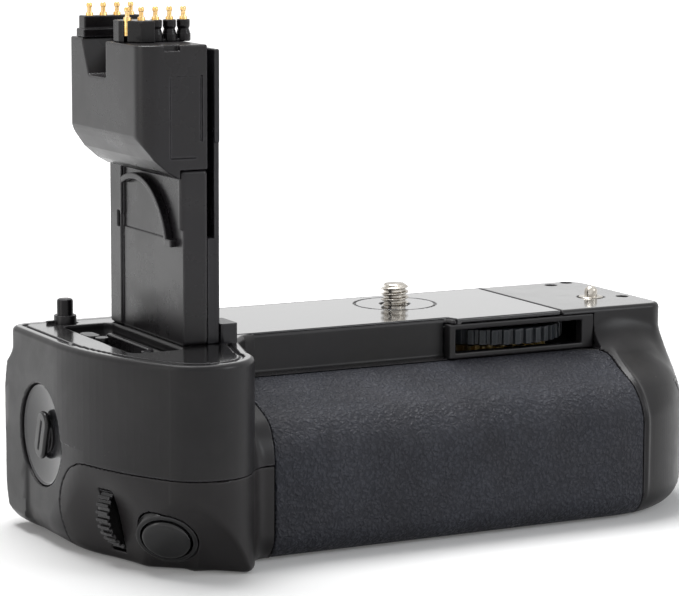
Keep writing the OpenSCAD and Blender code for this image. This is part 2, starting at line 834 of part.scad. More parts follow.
module stalk_harness() {
    x = (col_x + rail_x - groove_t)/2;
    y = pair(bay_y, [-6, 6]);
    low = bay_top + bay_wall + 0.3;
    color("#a8752e") {
        span([x, x + harness_t], y, [low, rim_z - 2.6]);
        span([board_x + board_t, x + slop], y, [low, low + harness_t]);
    }
}

module hinge_rail() {
    rail = 1.3;
    x = recess[0][0] + 5.2;
    bend = 3.6;
    color("#333336") translate([0, 0, recess_z]) linear_extrude(recess_deep) {
        translate([x, recess[1][0] + 1 + bend]) square([rail, 26]);
        intersection() {
            translate([x + rail - bend, recess[1][0] + 1 + bend]) difference() {
                circle(bend);
                circle(bend - rail);
            }
            translate([x + rail - bend, recess[1][0] + 1]) square([bend, bend + slop]);
        }
    }
}

module hinge_bar() {
    color("#3c3c3f") round_block(pair(recess[0][0], [0.8, 3.9]), pair(recess[1][1], [-13, -7.4]),
        [recess_z, deck_h - 0.4], 1.4);
}

module hinge_post() {
    color("#3c3c3f") disc([recess[0][0] + 2.6, recess[1][1] - 16.2], [recess_z, deck_h - 0.2], 1.4);
}

module stalk_step() {
    color("#2b2b2d") round_block([stalk_x, stalk_x + 3.8], pair(stalk_y[0], [-0.5, 7]),
        [deck_h, deck_h + 4.3], 0.5);
}

module stalk_latch_pin() {
    color("#55555a") translate([stalk_x, stalk_y[0] + 9, deck_h + 5.8]) rotate([0, 90, 0])
        cylinder(h = 3, r = 0.55);
}

module interlock_peg() {
    low = deck_h - peg_travel - 2.5;
    color("#1c1d1c") {
        disc(peg_c, [low, deck_h + peg_h], peg_r);
        disc(peg_c, [low, low + 1], peg_r + 0.6);
    }
}

module peg_collar() {
    color("#232323") difference() {
        union() {
            disc(peg_c, [deck_h - wall, deck_h + 1.8], peg_collar_r);
            span(pair(peg_c[0], [-4.4, -1]), pair(peg_c[1], [-0.4, 0.4]), [deck_h, deck_h + 0.7]);
        }
        disc(peg_c, [deck_h - 9, deck_h + 9], peg_r + fit);
    }
}

module shutter_button() {
    dome = 0.5;
    low = shutter_travel + 0.8 - cup_deep;
    color("#3a3a3c") shutter_frame() {
        translate([0, 0, low]) cylinder(h = shutter_proud - dome - low, r = shutter_r);
        translate([0, 0, shutter_proud - dome - slop])
            cylinder(h = dome, r1 = shutter_r, r2 = shutter_r - dome);
        translate([0, 0, -stem_l]) cylinder(h = stem_l, r = stem_r);
    }
}

module shutter_collar() {
    color("#202022") shutter_frame() difference() {
        translate([0, 0, -collar_deep]) cylinder(h = collar_deep, r = shutter_r + shutter_gap + collar_w);
        translate([0, 0, -cup_deep]) cylinder(h = 20, r = shutter_r + shutter_gap);
        translate([0, 0, -20]) cylinder(h = 40, r = stem_r + fit);
    }
}

module shutter_switch() {
    color("#4b5a48") shutter_frame() {
        span([-5, 5], [-3, 3], switch_z);
        for (x = [-5, 3.6]) span([x, x + 1.4], [-2, 2], [switch_z[0], -collar_deep]);
    }
}

module main_dial() {
    color("#38383a") dial_frame() rotate([0, 90, 0])
        translate([0, 0, -dial_t/2]) linear_extrude(dial_t) difference() {
            ridged(dial_r, dial_teeth, 0.6, 0.5);
            circle(dial_axle_r + fit);
        }
}

module dial_axle() {
    color("silver") dial_frame() rotate([0, 90, 0])
        cylinder(h = dial_t + 2*(gap + cheek_t), r = dial_axle_r, center = true);
}

module dial_bracket() {
    half = dial_t/2 + gap;
    deep = -dial_r - gap - 1;
    color("#6c6f70") dial_frame() difference() {
        union() {
            for (x = [-half - cheek_t, half])
                span([x, x + cheek_t], [-3, 3], [deep, dial_sunk - wall - 0.1]);
            span([-half - cheek_t, half + cheek_t], [-3, 3], [deep, deep + 1]);
        }
        rotate([0, 90, 0]) cylinder(h = 30, r = dial_axle_r, center = true);
    }
}

module power_escutcheon() {
    dish = 60;
    color("#2f2f31") power_frame() difference() {
        translate([0, 0, -power_seat]) cylinder(h = power_seat - 0.2, r = power_r - 0.05);
        translate([0, 0, -power_floor + dish]) sphere(dish, $fn = 128);
        translate([0, 0, -20]) cylinder(h = 40, r = power_hub + fit);
    }
}

// Bar of the power switch on its round hub
module power_lever() {
    color("#1d1d1f") power_frame() {
        translate([0, 0, -power_boss - 2]) cylinder(h = power_boss + 2 + power_bar_z, r = power_hub);
        rotate(-18) translate([0, 0, power_bar_z - slop]) linear_extrude(-power_bar_z)
            round_rect([-power_bar/2, power_bar/2], [-power_bar_w/2, power_bar_w/2], power_bar_w/2 - slop);
    }
}

module power_detent() {
    color("#4d4f52") power_frame() difference() {
        translate([0, 0, -power_boss - 4]) cylinder(h = 4, r = power_hub + 3);
        translate([0, 0, -power_boss - 2.3]) cylinder(h = 4, r = power_hub + gap);
    }
}

module rear_button(at) {
    slope = 0.53;
    face = rear_y + slope*(deck_h - 8 - at[1]) + 0.5;
    color("#343437") translate([at[0], 0, at[1]]) rotate([-90, 0, 0]) {
        translate([0, 0, button_flange[0]]) cylinder(h = face - button_flange[0], r = rear_button_r);
        translate([0, 0, button_flange[0]])
            cylinder(h = button_flange[1] - button_flange[0], r = rear_button_r + 0.8);
    }
}

module exposure_lock_button() {
    rear_button(rear_buttons[0]);
}

module focus_point_button() {
    rear_button(rear_buttons[1]);
}

module focus_start_button() {
    rear_button(rear_buttons[2]);
}

module rear_button_board() {
    color("#3c5a3f") {
        span([rear_buttons[0][0] - 3.5, rear_buttons[2][0] + 3.5], [button_board_y, button_board_y + 1],
            [deck_h - 14.6, deck_h - 8.4]);
        for (x = [rear_buttons[0][0] + 5.6, rear_buttons[2][0] - 4.8])
            translate([x, button_board_y + 1, deck_h - 9.4]) rotate([-90, 0, 0])
                cylinder(h = rear_y - wall - button_board_y - 1, r = 0.9);
    }
}

module control_board() {
    y = pair(bay_y, [-6.5, 20]);
    color("#2f5a3a") {
        span([board_x, board_x + board_t], y, [6, bay_top + bay_wall + 1]);
        for (cy = y + [3, -3]) translate([board_x + board_t, cy, 12]) rotate([0, 90, 0])
            cylinder(h = bay_x - bay_wall - board_x - board_t, r = 1.2);
    }
}

module bay_contact_block() {
    color("#1f1f20") span([bay_x, bay_x + 1.3], pair(bay_y, [-8, 8]), pair(pack_z, [12, 19.5]));
}

module bay_contacts() {
    color("#e0b050") for (y = [-5, 0, 5])
        span([bay_x + 1.3, pack_a_x - gap], pair(bay_y + y, [-0.8, 0.8]), pair(pack_z, [14, 18]));
}

module battery_tray() {
    y = pair(bay_y, [-tray_half, tray_half]);
    color("#29292b") {
        span([tray_x, cap_x], y, [tray_z, tray_z + tray_floor]);
        span([tray_x, tray_x + tray_wall], y, [tray_z, tray_z + tray_side]);
        for (s = [y[0], y[1] - tray_wall])
            span([tray_x, cap_x], [s, s + tray_wall], [tray_z, tray_z + tray_side]);
    }
}

module tray_end_cap() {
    pocket = bolt_in[1] + gap + cap_t + 1;
    color("#2b2b2d") difference() {
        intersection() {
            outer_form(0);
            span([cap_x, right + 1], pair(bay_y, [-bay_half + gap, bay_half - gap]), [tray_z, cap_top]);
        }
        knob_frame() {
            translate([0, 0, -knob_deep]) cylinder(h = 10, r = knob_r + gap);
            translate([0, 0, -cap_t - 1]) cylinder(h = 20, r = axle_r + fit);
            translate([0, 0, -cap_t - 1]) cylinder(h = pocket, r = bolt_hub + gap);
            // pocket swept by the bolt
            intersection() {
                translate([0, 0, -cap_t - 1]) cylinder(h = pocket, r = bolt_reach + 2*gap);
                translate([-30, -30, -20]) cube([30 + bolt_w/2 + gap, 30 + bolt_w/2 + gap, 40]);
            }
        }
    }
}

module tray_knob() {
    bar = 3.4;
    color("#242426") knob_frame() {
        translate([0, 0, -knob_deep + 0.3]) cylinder(h = 1.4, r = knob_r);
        translate([-knob_r + 0.4, -bar/2, -knob_deep + 1.6]) cube([2*knob_r - 0.8, bar, 1.3]);
        translate([0, 0, bolt_in[0]]) cylinder(h = -knob_deep + 0.4 - bolt_in[0], r = axle_r);
    }
}

module tray_bolt() {
    color("#8f8f8c") knob_frame() difference() {
        union() {
            translate([-bolt_w/2, -bolt_reach, bolt_in[0]]) cube([bolt_w, bolt_reach, bolt_t]);
            translate([0, 0, bolt_in[0]]) cylinder(h = bolt_t, r = bolt_hub);
        }
        translate([0, 0, -20]) cylinder(h = 40, r = axle_r);
    }
}

module battery(x) {
    color("#3d3f42") run_x([x, x + pack_l])
        round_rect(pair(bay_y, [-pack_w/2, pack_w/2]), pair(pack_z, [0, pack_h]), 1.5);
}

module battery_outer() {
    battery(pack_b_x);
}

module battery_inner() {
    battery(pack_a_x);
}

module case_screws() {
    color("#9a9a98") for (p = case_posts) {
        disc(p, [0.2, 0.2 + head_t], head_r);
        disc(p, [0.2, socket_deep - 1.2], small_screw_r);
    }
}

module frame_screws() {
    color("#9a9a98") for (p = frame_posts) {
        disc(p, [frame_z - head_t, frame_z], head_r);
        disc(p, [frame_z - head_t, plate_z - 4.4], small_screw_r);
    }
}

main_body();
control_cover();
top_plate();
base_plate();
front_grip_skin();
thumb_rest_skin();
wheel_housing();
bay_frame();
gear_frame();
attachment_wheel();
wheel_gear();
wheel_axle();
camera_screw();
screw_gear();
screw_clip();
locating_pin();
tripod_socket();
stalk_column();
stalk_rail();
contact_block();
door_catch_arch();
rear_contact_strip();
front_contact_strip();
rear_contact_pins();
front_contact_pins();
stalk_harness();
hinge_rail();
hinge_bar();
hinge_post();
stalk_step();
stalk_latch_pin();
interlock_peg();
peg_collar();
shutter_button();
shutter_collar();
shutter_switch();
main_dial();
dial_axle();
dial_bracket();
power_escutcheon();
power_lever();
power_detent();
exposure_lock_button();
focus_point_button();
focus_start_button();
rear_button_board();
control_board();
bay_contact_block();
bay_contacts();
battery_tray();
tray_end_cap();
tray_knob();
tray_bolt();
battery_outer();
battery_inner();
case_screws();
frame_screws();
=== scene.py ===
from functools import reduce
from math import ceil, cos, pi, radians, sin, sqrt

import bpy
import numpy as np
from mathutils import Matrix, Vector
from numpy import hypot, maximum, minimum


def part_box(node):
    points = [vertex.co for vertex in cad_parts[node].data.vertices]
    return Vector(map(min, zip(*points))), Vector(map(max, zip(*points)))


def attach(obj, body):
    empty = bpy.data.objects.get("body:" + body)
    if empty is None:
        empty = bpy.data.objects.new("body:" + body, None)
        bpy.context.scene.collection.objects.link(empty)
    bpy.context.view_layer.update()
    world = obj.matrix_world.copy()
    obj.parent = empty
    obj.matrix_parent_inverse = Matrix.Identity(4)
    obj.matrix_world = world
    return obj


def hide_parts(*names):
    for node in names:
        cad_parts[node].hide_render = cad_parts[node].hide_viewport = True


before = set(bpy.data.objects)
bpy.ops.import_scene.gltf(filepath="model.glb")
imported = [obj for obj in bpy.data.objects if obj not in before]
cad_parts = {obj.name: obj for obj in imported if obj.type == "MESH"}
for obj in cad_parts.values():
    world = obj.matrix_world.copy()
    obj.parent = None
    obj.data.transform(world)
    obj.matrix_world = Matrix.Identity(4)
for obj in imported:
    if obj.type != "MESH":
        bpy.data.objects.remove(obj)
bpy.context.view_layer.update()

# All shapes below are worked out in millimetres and scaled once, when a mesh is made.
MM = 0.001
# Pitch of the nets that the larger meshes start from
FINE = 0.45

# Forms as distances
# Each form is a signed distance in mm: negative inside, zero on the surface.


def smooth(low, high, value):
    t = np.clip((value - low)/(high - low), 0.0, 1.0)
    return t*t*(3.0 - 2.0*t)


def arc(centre, radius, start, end, step=2.0):
    """Points of an arc from start to end, in degrees."""
    count = max(2, int(ceil(abs(end - start)/step)))
    turns = np.radians(np.linspace(start, end, count + 1))
    return [(centre[0] + radius*cos(a), centre[1] + radius*sin(a)) for a in turns]


def rounded(low, high, radius, step=15):
    """Outline of a rectangle with round corners, from the centres of two opposite ones."""
    return (arc((low[0], high[1]), radius, 90, 180, step) + arc(low, radius, 180, 270, step)
            + arc((high[0], low[1]), radius, 270, 360, step) + arc(high, radius, 0, 90, step))


def outline(u, v, points):
    """Signed distance to a closed outline in the plane of u and v."""
    shape = np.broadcast(u, v).shape
    nearest = np.full(shape, 1e9, np.float32)
    inside = np.zeros(shape, bool)
    for (ax, ay), (bx, by) in zip(points[-1:] + points[:-1], points):
        ex, ey = bx - ax, by - ay
        if ex*ex + ey*ey < 1e-12:
            continue
        wx, wy = u - ax, v - ay
        t = np.clip((wx*ex + wy*ey)/(ex*ex + ey*ey), 0.0, 1.0)
        nearest = minimum(nearest, (wx - ex*t)**2 + (wy - ey*t)**2)
        if ay != by:
            crosses = (v < ay) != (v < by)
            inside ^= crosses & (u < ax + ex*(v - ay)/ey)
    return np.where(inside, -1.0, 1.0)*np.sqrt(nearest)


def box(x, y, z, low, high, radius=0.0):
    """A block between two corners, its edges rounded."""
    gaps = [np.abs(c - 0.5*(a + b)) - 0.5*(b - a) + radius for c, a, b in zip((x, y, z), low, high)]
    out = np.sqrt(sum(maximum(g, 0.0)**2 for g in gaps))
    return out + minimum(common(*gaps), 0.0) - radius


def post(u, v, w, centre, radius, low, high, edge=0.0):
    """A round post along w."""
    side = hypot(u - centre[0], v - centre[1]) - radius
    return meet(side, maximum(low - w, w - high), edge)


def meet(a, b, radius=0.0):
    """What two forms share, with the outer edge between them rounded."""
    if radius <= 0.0:
        return maximum(a, b)
    return minimum(maximum(a, b), -radius) + hypot(
        maximum(a + radius, 0.0), maximum(b + radius, 0.0))


def joined(a, b, radius=0.0):
    """Two forms together, with a fillet in the corner between them."""
    if np.ndim(radius) == 0 and radius <= 0.0:
        return minimum(a, b)
    return maximum(minimum(a, b), radius) - hypot(
        maximum(radius - a, 0.0), maximum(radius - b, 0.0))


def less(a, b, radius=0.0):
    """Form a with form b cut out of it."""
    return meet(a, -b, radius)


def common(*forms):
    """What several forms share, with sharp edges between them."""
    return reduce(maximum, forms)


# Meshes from forms

CORNERS = [(i, j, k) for k in (0, 1) for j in (0, 1) for i in (0, 1)]


def gradient(form, points, step=0.04):
    grad = np.empty_like(points)
    for k in range(3):
        ahead, behind = points.copy(), points.copy()
        ahead[:, k] += step
        behind[:, k] -= step
        grad[:, k] = (form(*ahead.T) - form(*behind.T))/(2*step)
    return grad


def settle(form, points, rounds, limit):
    """Moves points onto the surface of a form."""
    for _ in range(rounds):
        grad = gradient(form, points)
        size = maximum((grad**2).sum(1), 0.25)
        step = np.clip(form(*points.T)/size, -limit, limit)
        points = points - step[:, None]*grad
    return points


def net(form, low, high, pitch):
    """Quads over the surface of a form, between two corners."""
    axes = [np.arange(a - 2*pitch, b + 2.5*pitch, pitch) for a, b in zip(low, high)]
    x, y, z = [c.astype(np.float32).reshape([-1 if k == i else 1 for k in range(3)])
               for i, c in enumerate(axes)]
    field = np.ascontiguousarray(np.broadcast_to(form(x, y, z), [len(c) for c in axes]), np.float32)
    inside = field < 0
    total = np.zeros([n - 1 for n in inside.shape], np.int8)
    for start in CORNERS:
        total += inside[tuple(slice(s, s + n) for s, n in zip(start, total.shape))]
    mixed = (total > 0) & (total < len(CORNERS))
    cells = np.argwhere(mixed)
    index = np.full(mixed.shape, -1, np.int32)
    index[mixed] = np.arange(len(cells))
    place = np.zeros((len(cells), 3))
    hits = np.zeros(len(cells))
    for axis in range(3):
        unit = np.eye(3, dtype=int)[axis]
        for start in [corner for corner in CORNERS if corner[axis] == 0]:
            a_at, b_at = cells + start, cells + start + unit
            a, b = field[tuple(a_at.T)], field[tuple(b_at.T)]
            cut = (a < 0) != (b < 0)
            t = np.where(cut, a/np.where(cut, a - b, 1.0), 0.0)
            place += np.where(cut[:, None], start + t[:, None]*unit, 0.0)
            hits += cut
    origin = np.array([c[0] for c in axes])
    points = origin + (cells + place/hits[:, None])*pitch
    quads = []
    for axis in range(3):
        u, v = (axis + 1) % 3, (axis + 2) % 3
        ahead = np.moveaxis(inside, axis, 0)
        at = np.argwhere(ahead[:-1] != ahead[1:])
        full = at[:, np.argsort([axis] + [k for k in range(3) if k != axis])]
        keep = (full[:, u] > 0) & (full[:, v] > 0)
        keep &= (full[:, u] < mixed.shape[u]) & (full[:, v] < mixed.shape[v])
        full = full[keep]
        corners = []
        for du, dv in ((-1, -1), (0, -1), (0, 0), (-1, 0)):
            cell = full.copy()
            cell[:, u] += du
            cell[:, v] += dv
            corners.append(index[tuple(cell.T)])
        quad = np.stack(corners, 1)
        flip = ~inside[tuple(full.T)]
        quad[flip] = quad[flip][:, ::-1]
        quads.append(quad)
    return points, np.concatenate(quads)


def mesh_from(name, points, faces):
    """A Blender mesh from points in mm and faces of one size."""
    mesh = bpy.data.meshes.new(name)
    mesh.vertices.add(len(points))
    mesh.vertices.foreach_set("co", (np.asarray(points)*MM).astype(np.float32).ravel())
    sides = faces.shape[1]
    mesh.loops.add(faces.size)
    mesh.loops.foreach_set("vertex_index", faces.astype(np.int32).ravel())
    mesh.polygons.add(len(faces))
    mesh.polygons.foreach_set("loop_start", np.arange(0, faces.size, sides, dtype=np.int32))
    mesh.update(calc_edges=True)
    mesh.validate()
    return mesh


def in_scene(name, data):
    made = bpy.data.objects.new(name, data)
    bpy.context.scene.collection.objects.link(made)
    return made


def smoothed(mesh):
    mesh.polygons.foreach_set("use_smooth", np.ones(len(mesh.polygons), bool))


def placed(name, mesh, finish, cad, body):
    """An object for a mesh: its finish, the node that it stands for and the body that it rides on."""
    piece = in_scene(name, mesh)
    mesh.materials.clear()
    mesh.materials.append(FINISH[finish])
    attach(piece, body)
    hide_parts(cad)
    return piece


def vertex_places(mesh):
    places = np.empty(len(mesh.vertices)*3, np.float32)
    mesh.vertices.foreach_get("co", places)
    return places.reshape(-1, 3).astype(float)/MM


def thinned(mesh, share):
    """The mesh with its flat areas in fewer faces."""
    holder = in_scene("thinning", mesh)
    change = holder.modifiers.new("thin", "DECIMATE")
    change.ratio = share
    graph = bpy.context.evaluated_depsgraph_get()
    result = bpy.data.meshes.new_from_object(holder.evaluated_get(graph))
    bpy.data.objects.remove(holder)
    bpy.data.meshes.remove(mesh)
    return result


def moulded(name, form, low, high, pitch, finish, cad, share, body="body"):
    """A piece whose surface is where its form is zero, shaded by the form itself."""
    points, quads = net(form, low, high, pitch)
    points = settle(form, points, 2, 0.4*pitch)
    mesh = thinned(mesh_from(name, points, quads), share)
    points = settle(form, vertex_places(mesh), 1, 0.1*pitch)
    mesh.vertices.foreach_set("co", (points*MM).astype(np.float32).ravel())
    mesh.update()
    normals = gradient(form, points, 0.06)
    normals /= maximum(np.linalg.norm(normals, axis=1), 1e-6)[:, None]
    smoothed(mesh)
    mesh.normals_split_custom_set_from_vertices(normals.astype(np.float32))
    mesh.name = name
    print("made", name, len(mesh.polygons))
    placed(name, mesh, finish, cad, body)


def crisp(name, points, faces, angle, finish, cad, body):
    """A piece from points in metres and faces, smooth where they meet at less than an angle in degrees."""
    mesh = bpy.data.meshes.new(name)
    mesh.from_pydata([tuple(p) for p in points], [], faces)
    mesh.update()
    smoothed(mesh)
    piece = placed(name, mesh, finish, cad, body)
    piece.modifiers.new("crisp", "EDGE_SPLIT").split_angle = radians(angle)


def turned(name, profile, spots, finish, cad, body="body", steps=48):
    """A lathe piece: a profile of (radius, height) pairs, turned at one or more spots, given as matrices."""
    points, faces = [], []
    for spot in spots:
        rings = []
        for radius, height in profile:
            count = steps if radius else 1
            rings.append([len(points) + i % count for i in range(steps)])
            for i in range(count):
                turn = 2*pi*i/steps
                points.append(spot @ Vector((radius*cos(turn), radius*sin(turn), height))*MM)
        for low_ring, high_ring in zip(rings, rings[1:]):
            for i in range(steps):
                j = (i + 1) % steps
                face = list(dict.fromkeys((low_ring[i], low_ring[j], high_ring[j], high_ring[i])))
                if len(face) > 2:
                    faces.append(face)
    crisp(name, points, faces, 40, finish, cad, body)


# Sizes, as the solids have them

LEFT, RIGHT, NOSE, BACK = -76.0, 76.0, -38.1, 38.1
DECK = 45.0
WALL = 2.2
GRIP_Y, BAND_Y, HOUSING_Y, REAR_Y = -29.5, -6.5, -9.0, 30.0
STEP_X = 71.0
SEAM_Z = 21.0
STALK_Y = (-15.0, 23.0)
STALK_X = -45.2
COLUMN_X = (-54.2, -47.9)
BLOCK_X = -63.2
RIM_Z = 108.0
JOINT_Z = 82.0
BLOCK_Z = 89.0
# Well in the stalk that its wiring film runs in, and the hinge's recess beside it, seen from above
SHAFT = ((-52.6, -13.4), (-49.5, 21.4))
RECESS = ((-66.5, -17.5), (-54.8, 21.0))
RECESS_Z = 41.8
# Contact pins: the first one's X, their pitch, the Y of both rows, their holes and the strips' top
PIN_X, PIN_STEP, REAR_ROW_Y, FRONT_ROW_Y, PIN_HOLE, STRIP_Z = -60.6, 3.2, 17.8, -2.5, 0.87, 112.6
PEG = (-64.0, 25.1)
SCREW = (14.014, 16.974)
TRAY_Y = 2.8
PIN = (60.0, 5.7)
CASE_SCREWS = ((-31.9, -19.6), (-31.9, 20.4), (57.8, -17.4), (60.0, 20.4))
WHEEL = (33.0, 8.0)
# Frame of the wheel's window, between two corners
FRAME = ((13.8, HOUSING_Y, 36), (51.5, -6.2, 43.8))
POWER = (10.9, 23.5)
KNOB = (4.8, 16.2)
REAR_BUTTONS = ((-63.0, 31.0), (-52.0, 33.0), (-42.0, 31.0))


def facet_frame(at, turn, lean):
    """Origin of a facet, with its level, upslope and outward directions. Angles are in degrees."""
    turn, lean = radians(turn), radians(lean)
    level = np.array([cos(turn), -sin(turn), 0.0])
    out = -np.array([sin(turn)*cos(lean), cos(turn)*cos(lean), sin(lean)])
    return np.array(at), level, np.cross(out, level), out


DIAL = facet_frame((-70.5, -14.2, 9.2), 71.6, 17.0)
SHUTTER = facet_frame((-63.7, -28.1, 7.7), 40.0, 32.5)


def in_facet(facet, x, y, z):
    """Coordinates of a point along a facet's level, upslope and outward directions."""
    at, *ways = facet
    return [(x - at[0])*w[0] + (y - at[1])*w[1] + (z - at[2])*w[2] for w in ways]


def facet_matrix(facet):
    at, *ways = facet
    return Matrix([*zip(*ways, at), (0, 0, 0, 1)])


# The body

DRUM_FRONT = (arc((-11, 3), 65, 180, 213.59) + arc((-55.6, -26.6), 11.5, 213.59, 360)
              + [(-39.6, -12), (-36.1, -8), (-33.1, BAND_Y)])
LEFT_REAR = arc((LEFT + 5, REAR_Y - 5), 5, 90, 180, 6)
DRUM_OUTLINE = DRUM_FRONT + [(-33.1, REAR_Y)] + LEFT_REAR
UPPER_OUTLINE = (
    DRUM_FRONT + [(13.8, BAND_Y), (14.4, HOUSING_Y + 0.4), (15.2, HOUSING_Y)]
    + arc((STEP_X - 4, HOUSING_Y + 4), 4, 270, 360, 6) + arc((STEP_X - 5, REAR_Y - 5), 5, 0, 90, 6)
    + LEFT_REAR)
GRIP_OUTLINE = (
    [(-110, GRIP_Y)] + arc((46, 0.5), 30, 270, 360) + arc((69, 23), 7, 0, 90, 6) + [(-110, REAR_Y)])
THUMB_OUTLINE = (
    [(LEFT, 20), (-34, 14)] + arc((LEFT + 21, BACK - 21), 21, 0, 90, 3)
    + arc((LEFT + 9, BACK - 9), 9, 90, 180, 4))
PLATE_OUTLINE = [(-40, -5.6), (15.0, -5.6), (16.0, -8.7), (43, -8.7), (43, 28.6), (-40, 28.6)]


def drum(x, y, z):
    """The control end, with its two leaning facets."""
    plan = outline(x, y, DRUM_OUTLINE)
    top_in = 0.9*smooth(34, 39, z)*smooth(6, 20, y)*smooth(-60, -72, x)
    form = meet(plan + top_in, z - DECK, 1.2)
    left = outline(x, z, [(60, 0), (60, 60), (LEFT, 60)] + arc((LEFT + 8, 8), 8, 180, 270, 5))
    form = meet(form, left, 1.5)
    form = meet(form, -z, 1.0)
    u, v, w = in_facet(DIAL, x, y, z)
    scoop = 1.1*smooth(13.0, 2.0, hypot(u + 1.0, v*0.8 + 1.0))
    form = meet(form, w + scoop, 1.1)
    u, v, w = in_facet(SHUTTER, x, y, z)
    return meet(form, w, 0.7)


def grip(x, y, z):
    """The lower body: the front grip with its shoulder, swept round the battery end."""
    deep = -outline(x, y, GRIP_OUTLINE)
    base = meet(-deep, -z, 6.5)
    slope = radians(21)
    front = meet(base, (z - 30.37)*cos(slope) - (deep - 6.1)*sin(slope), 6.5)
    end = meet(base, (z - 28.5 - deep)*sqrt(0.5), 3.5)
    turn = np.degrees(np.arctan2(minimum(y - 0.5, 0.0), maximum(x - 46, 1e-3)))
    to_end = np.where(x > 46, smooth(-82, -34, turn), 0.0)
    to_rear = smooth(10, 20, y)*(1.0 - smooth(48, 60, x)*(1.0 - smooth(22, 29, y)))
    form = front*(1 - to_end) + end*to_end
    form = form*(1 - to_rear) + base*to_rear
    form = meet(form, z - 37.5, 2.0)
    return maximum(form, -56.0 - x)


def thumb(x, y, z):
    """The swelling at the rear that the thumb rests on."""
    section = outline(y, z, [(20, 37), (REAR_Y, 37)] + arc((31.1, 21), 7, 50, -30, 6)
                      + [(REAR_Y, 4), (20, 4)])
    return meet(section, outline(x, y, THUMB_OUTLINE), 2.0)


def body(x, y, z):
    """The outside of the whole grip body."""
    upper = meet(outline(x, y, UPPER_OUTLINE), z - DECK, 1.2)
    upper = maximum(upper, 24 - z)
    top = minimum(drum(x, y, z), upper)
    by_drum = 0.6 + 2.6*smooth(33, 20, z)
    by_end = 0.5 + 6.0*smooth(40, 58, x)*smooth(26, 12, y)
    radius = by_drum + (by_end - by_drum)*smooth(-38, -20, x)
    form = joined(top, grip(x, y, z), radius)
    form = maximum(form, maximum(y - REAR_Y, -z))
    # raised lip beside the right edge of the grip skin
    lip = 0.4*np.exp(-((x - 53.9)/0.65)**2)*smooth(3, 9, z)*smooth(37, 34, z)*smooth(-8, -12, y)
    form = joined(form - lip, thumb(x, y, z), 4.0)
    return maximum(form, np.abs(x) - RIGHT + 0.01)


def skin_zone(x, z):
    """Where the front grip skin lies, seen from the front."""
    return outline(x, z, [(-38.6, 35.8)] + arc((51.0, 34.1), 1.7, 90, 0, 10)
                   + arc((52.2, 0.9), 0.6, 0, -90, 20)
                   + [(-38.5, 0.3), (-39.4, 3.0), (-39.4, 23.5), (-38.6, 31.0)])


def thumb_zone(x, z):
    return outline(x, z, rounded((-64.5, 11.5), (-41.5, 21.7), 2.5))


def cover_zone(x, y, z):
    """Where the control cover takes the place of the body shell."""
    section = outline(y, z, [(-60, SEAM_Z), (-60, -5), (1.3, -5)] + arc((-10.7, 9), 12, 0, 90, 4))
    return maximum(section, x + 39.5)


def hollow(x, y, z, outer):
    """The hollow inside the shells, less what stays solid in it."""
    space = outer + WALL
    front_backing = common(-(outer + WALL + 1.3), skin_zone(x, z) - 1.2, y + 5.0)
    rear_backing = common(-(outer + WALL + 1.0), thumb_zone(x, z) - 1.2, 24.0 - y)
    space = less(less(space, front_backing), rear_backing)
    space = less(space, box(x, y, z, (-42, -7.6, 42), (45, 29.6, 50)))
    space = less(space, box(x, y, z, (-68.1, -19.1, 40.6), (-54.8, 22.2, 50)))
    for at in REAR_BUTTONS:
        space = less(space, post(x, z, y, at, 7.7, REAR_Y - WALL, 60))
    return less(space, post(y, z, x, POWER, 12.5, -90, LEFT + 5))


def shell(x, y, z):
    """The body shell, open for everything that sits in it."""
    outer = body(x, y, z)
    form = less(outer, hollow(x, y, z, outer))
    form = less(form, cover_zone(x, y, z) - 0.05, 0.16)
    form = less(form, common(-(outer + 1.35), skin_zone(x, z) - 0.06, y + 5.0), 0.2)
    form = less(form, common(-(outer + 1.05), thumb_zone(x, z) - 0.06, 24.0 - y), 0.2)
    # deck: plate seat, drive well, stalk mouth, hinge recess, rim groove and small holes
    form = less(form, maximum(outline(x, y, PLATE_OUTLINE) - 0.32, 43.2 - z), 0.15)
    form = less(form, box(x, y, z, (-35, -3.2, 39), (40.6, 27.4, 50)))
    form = less(form, box(x, y, z, (*SHAFT[0], 37), (*SHAFT[1], 50)))
    form = less(form, box(x, y, z, (*RECESS[0], RECESS_Z), (*RECESS[1], 60), 2.0), 0.4)
    rim = np.abs(outline(x, y, DRUM_OUTLINE) + 2.7) - 0.35
    form = less(form, common(rim, 44.55 - z, x + 40, y - 27), 0.2)
    for at, radius, low, edge in ((PEG, 2.6, 36, 0.2), (PIN, 1.6, 36, 0.0), (PIN, 3.0, DECK - 0.45, 0.15)):
        form = less(form, post(x, y, z, at, radius, low, 60), edge)
    for at in ((61.2, 25.4), (66.6, 27.2), (67.1, 3.2)):
        form = less(form, post(x, y, z, at, 1.25, 44.2, 60), 0.15)
    # front: seat of the window's frame, the window and the room of the wheel
    form = less(form, box(x, y, z, (13.7, -12, 35.9), (51.6, -6.1, 43.9)), 0.15)
    form = less(form, box(x, y, z, (15.4, -12, 37.3), (48.4, 8, 42.5)))
    form = less(form, post(x, y, z, WHEEL, 18.6, 37.2, 42.6))
    # left end: power switch
    form = less(form, post(y, z, x, POWER, 11.15, -90, LEFT + 3.2), 0.35)
    form = less(form, post(y, z, x, POWER, 4.3, -90, LEFT + 8))
    # rear: buttons
    for at in REAR_BUTTONS:
        form = less(form, post(x, z, y, at, 3.5, 24, 60), 0.3)
        form = less(form, post(x, z, y, at, 6.2, REAR_Y - 0.2, 60), 0.5)
    # battery end: mouth of the tray
    form = less(form, box(x, y, z, (66, -18.5, 4.9), (90, 24.1, 28.6)), 0.3)
    # underneath: seat of the base plate and the opening above it
    form = less(form, box(x, y, z, (-35.6, -22.9, -5), (64.1, 23.4, 1.1)), 0.1)
    return less(form, box(x, y, z, (-30.5, -17.8, -5), (59, 18.3, 4)))


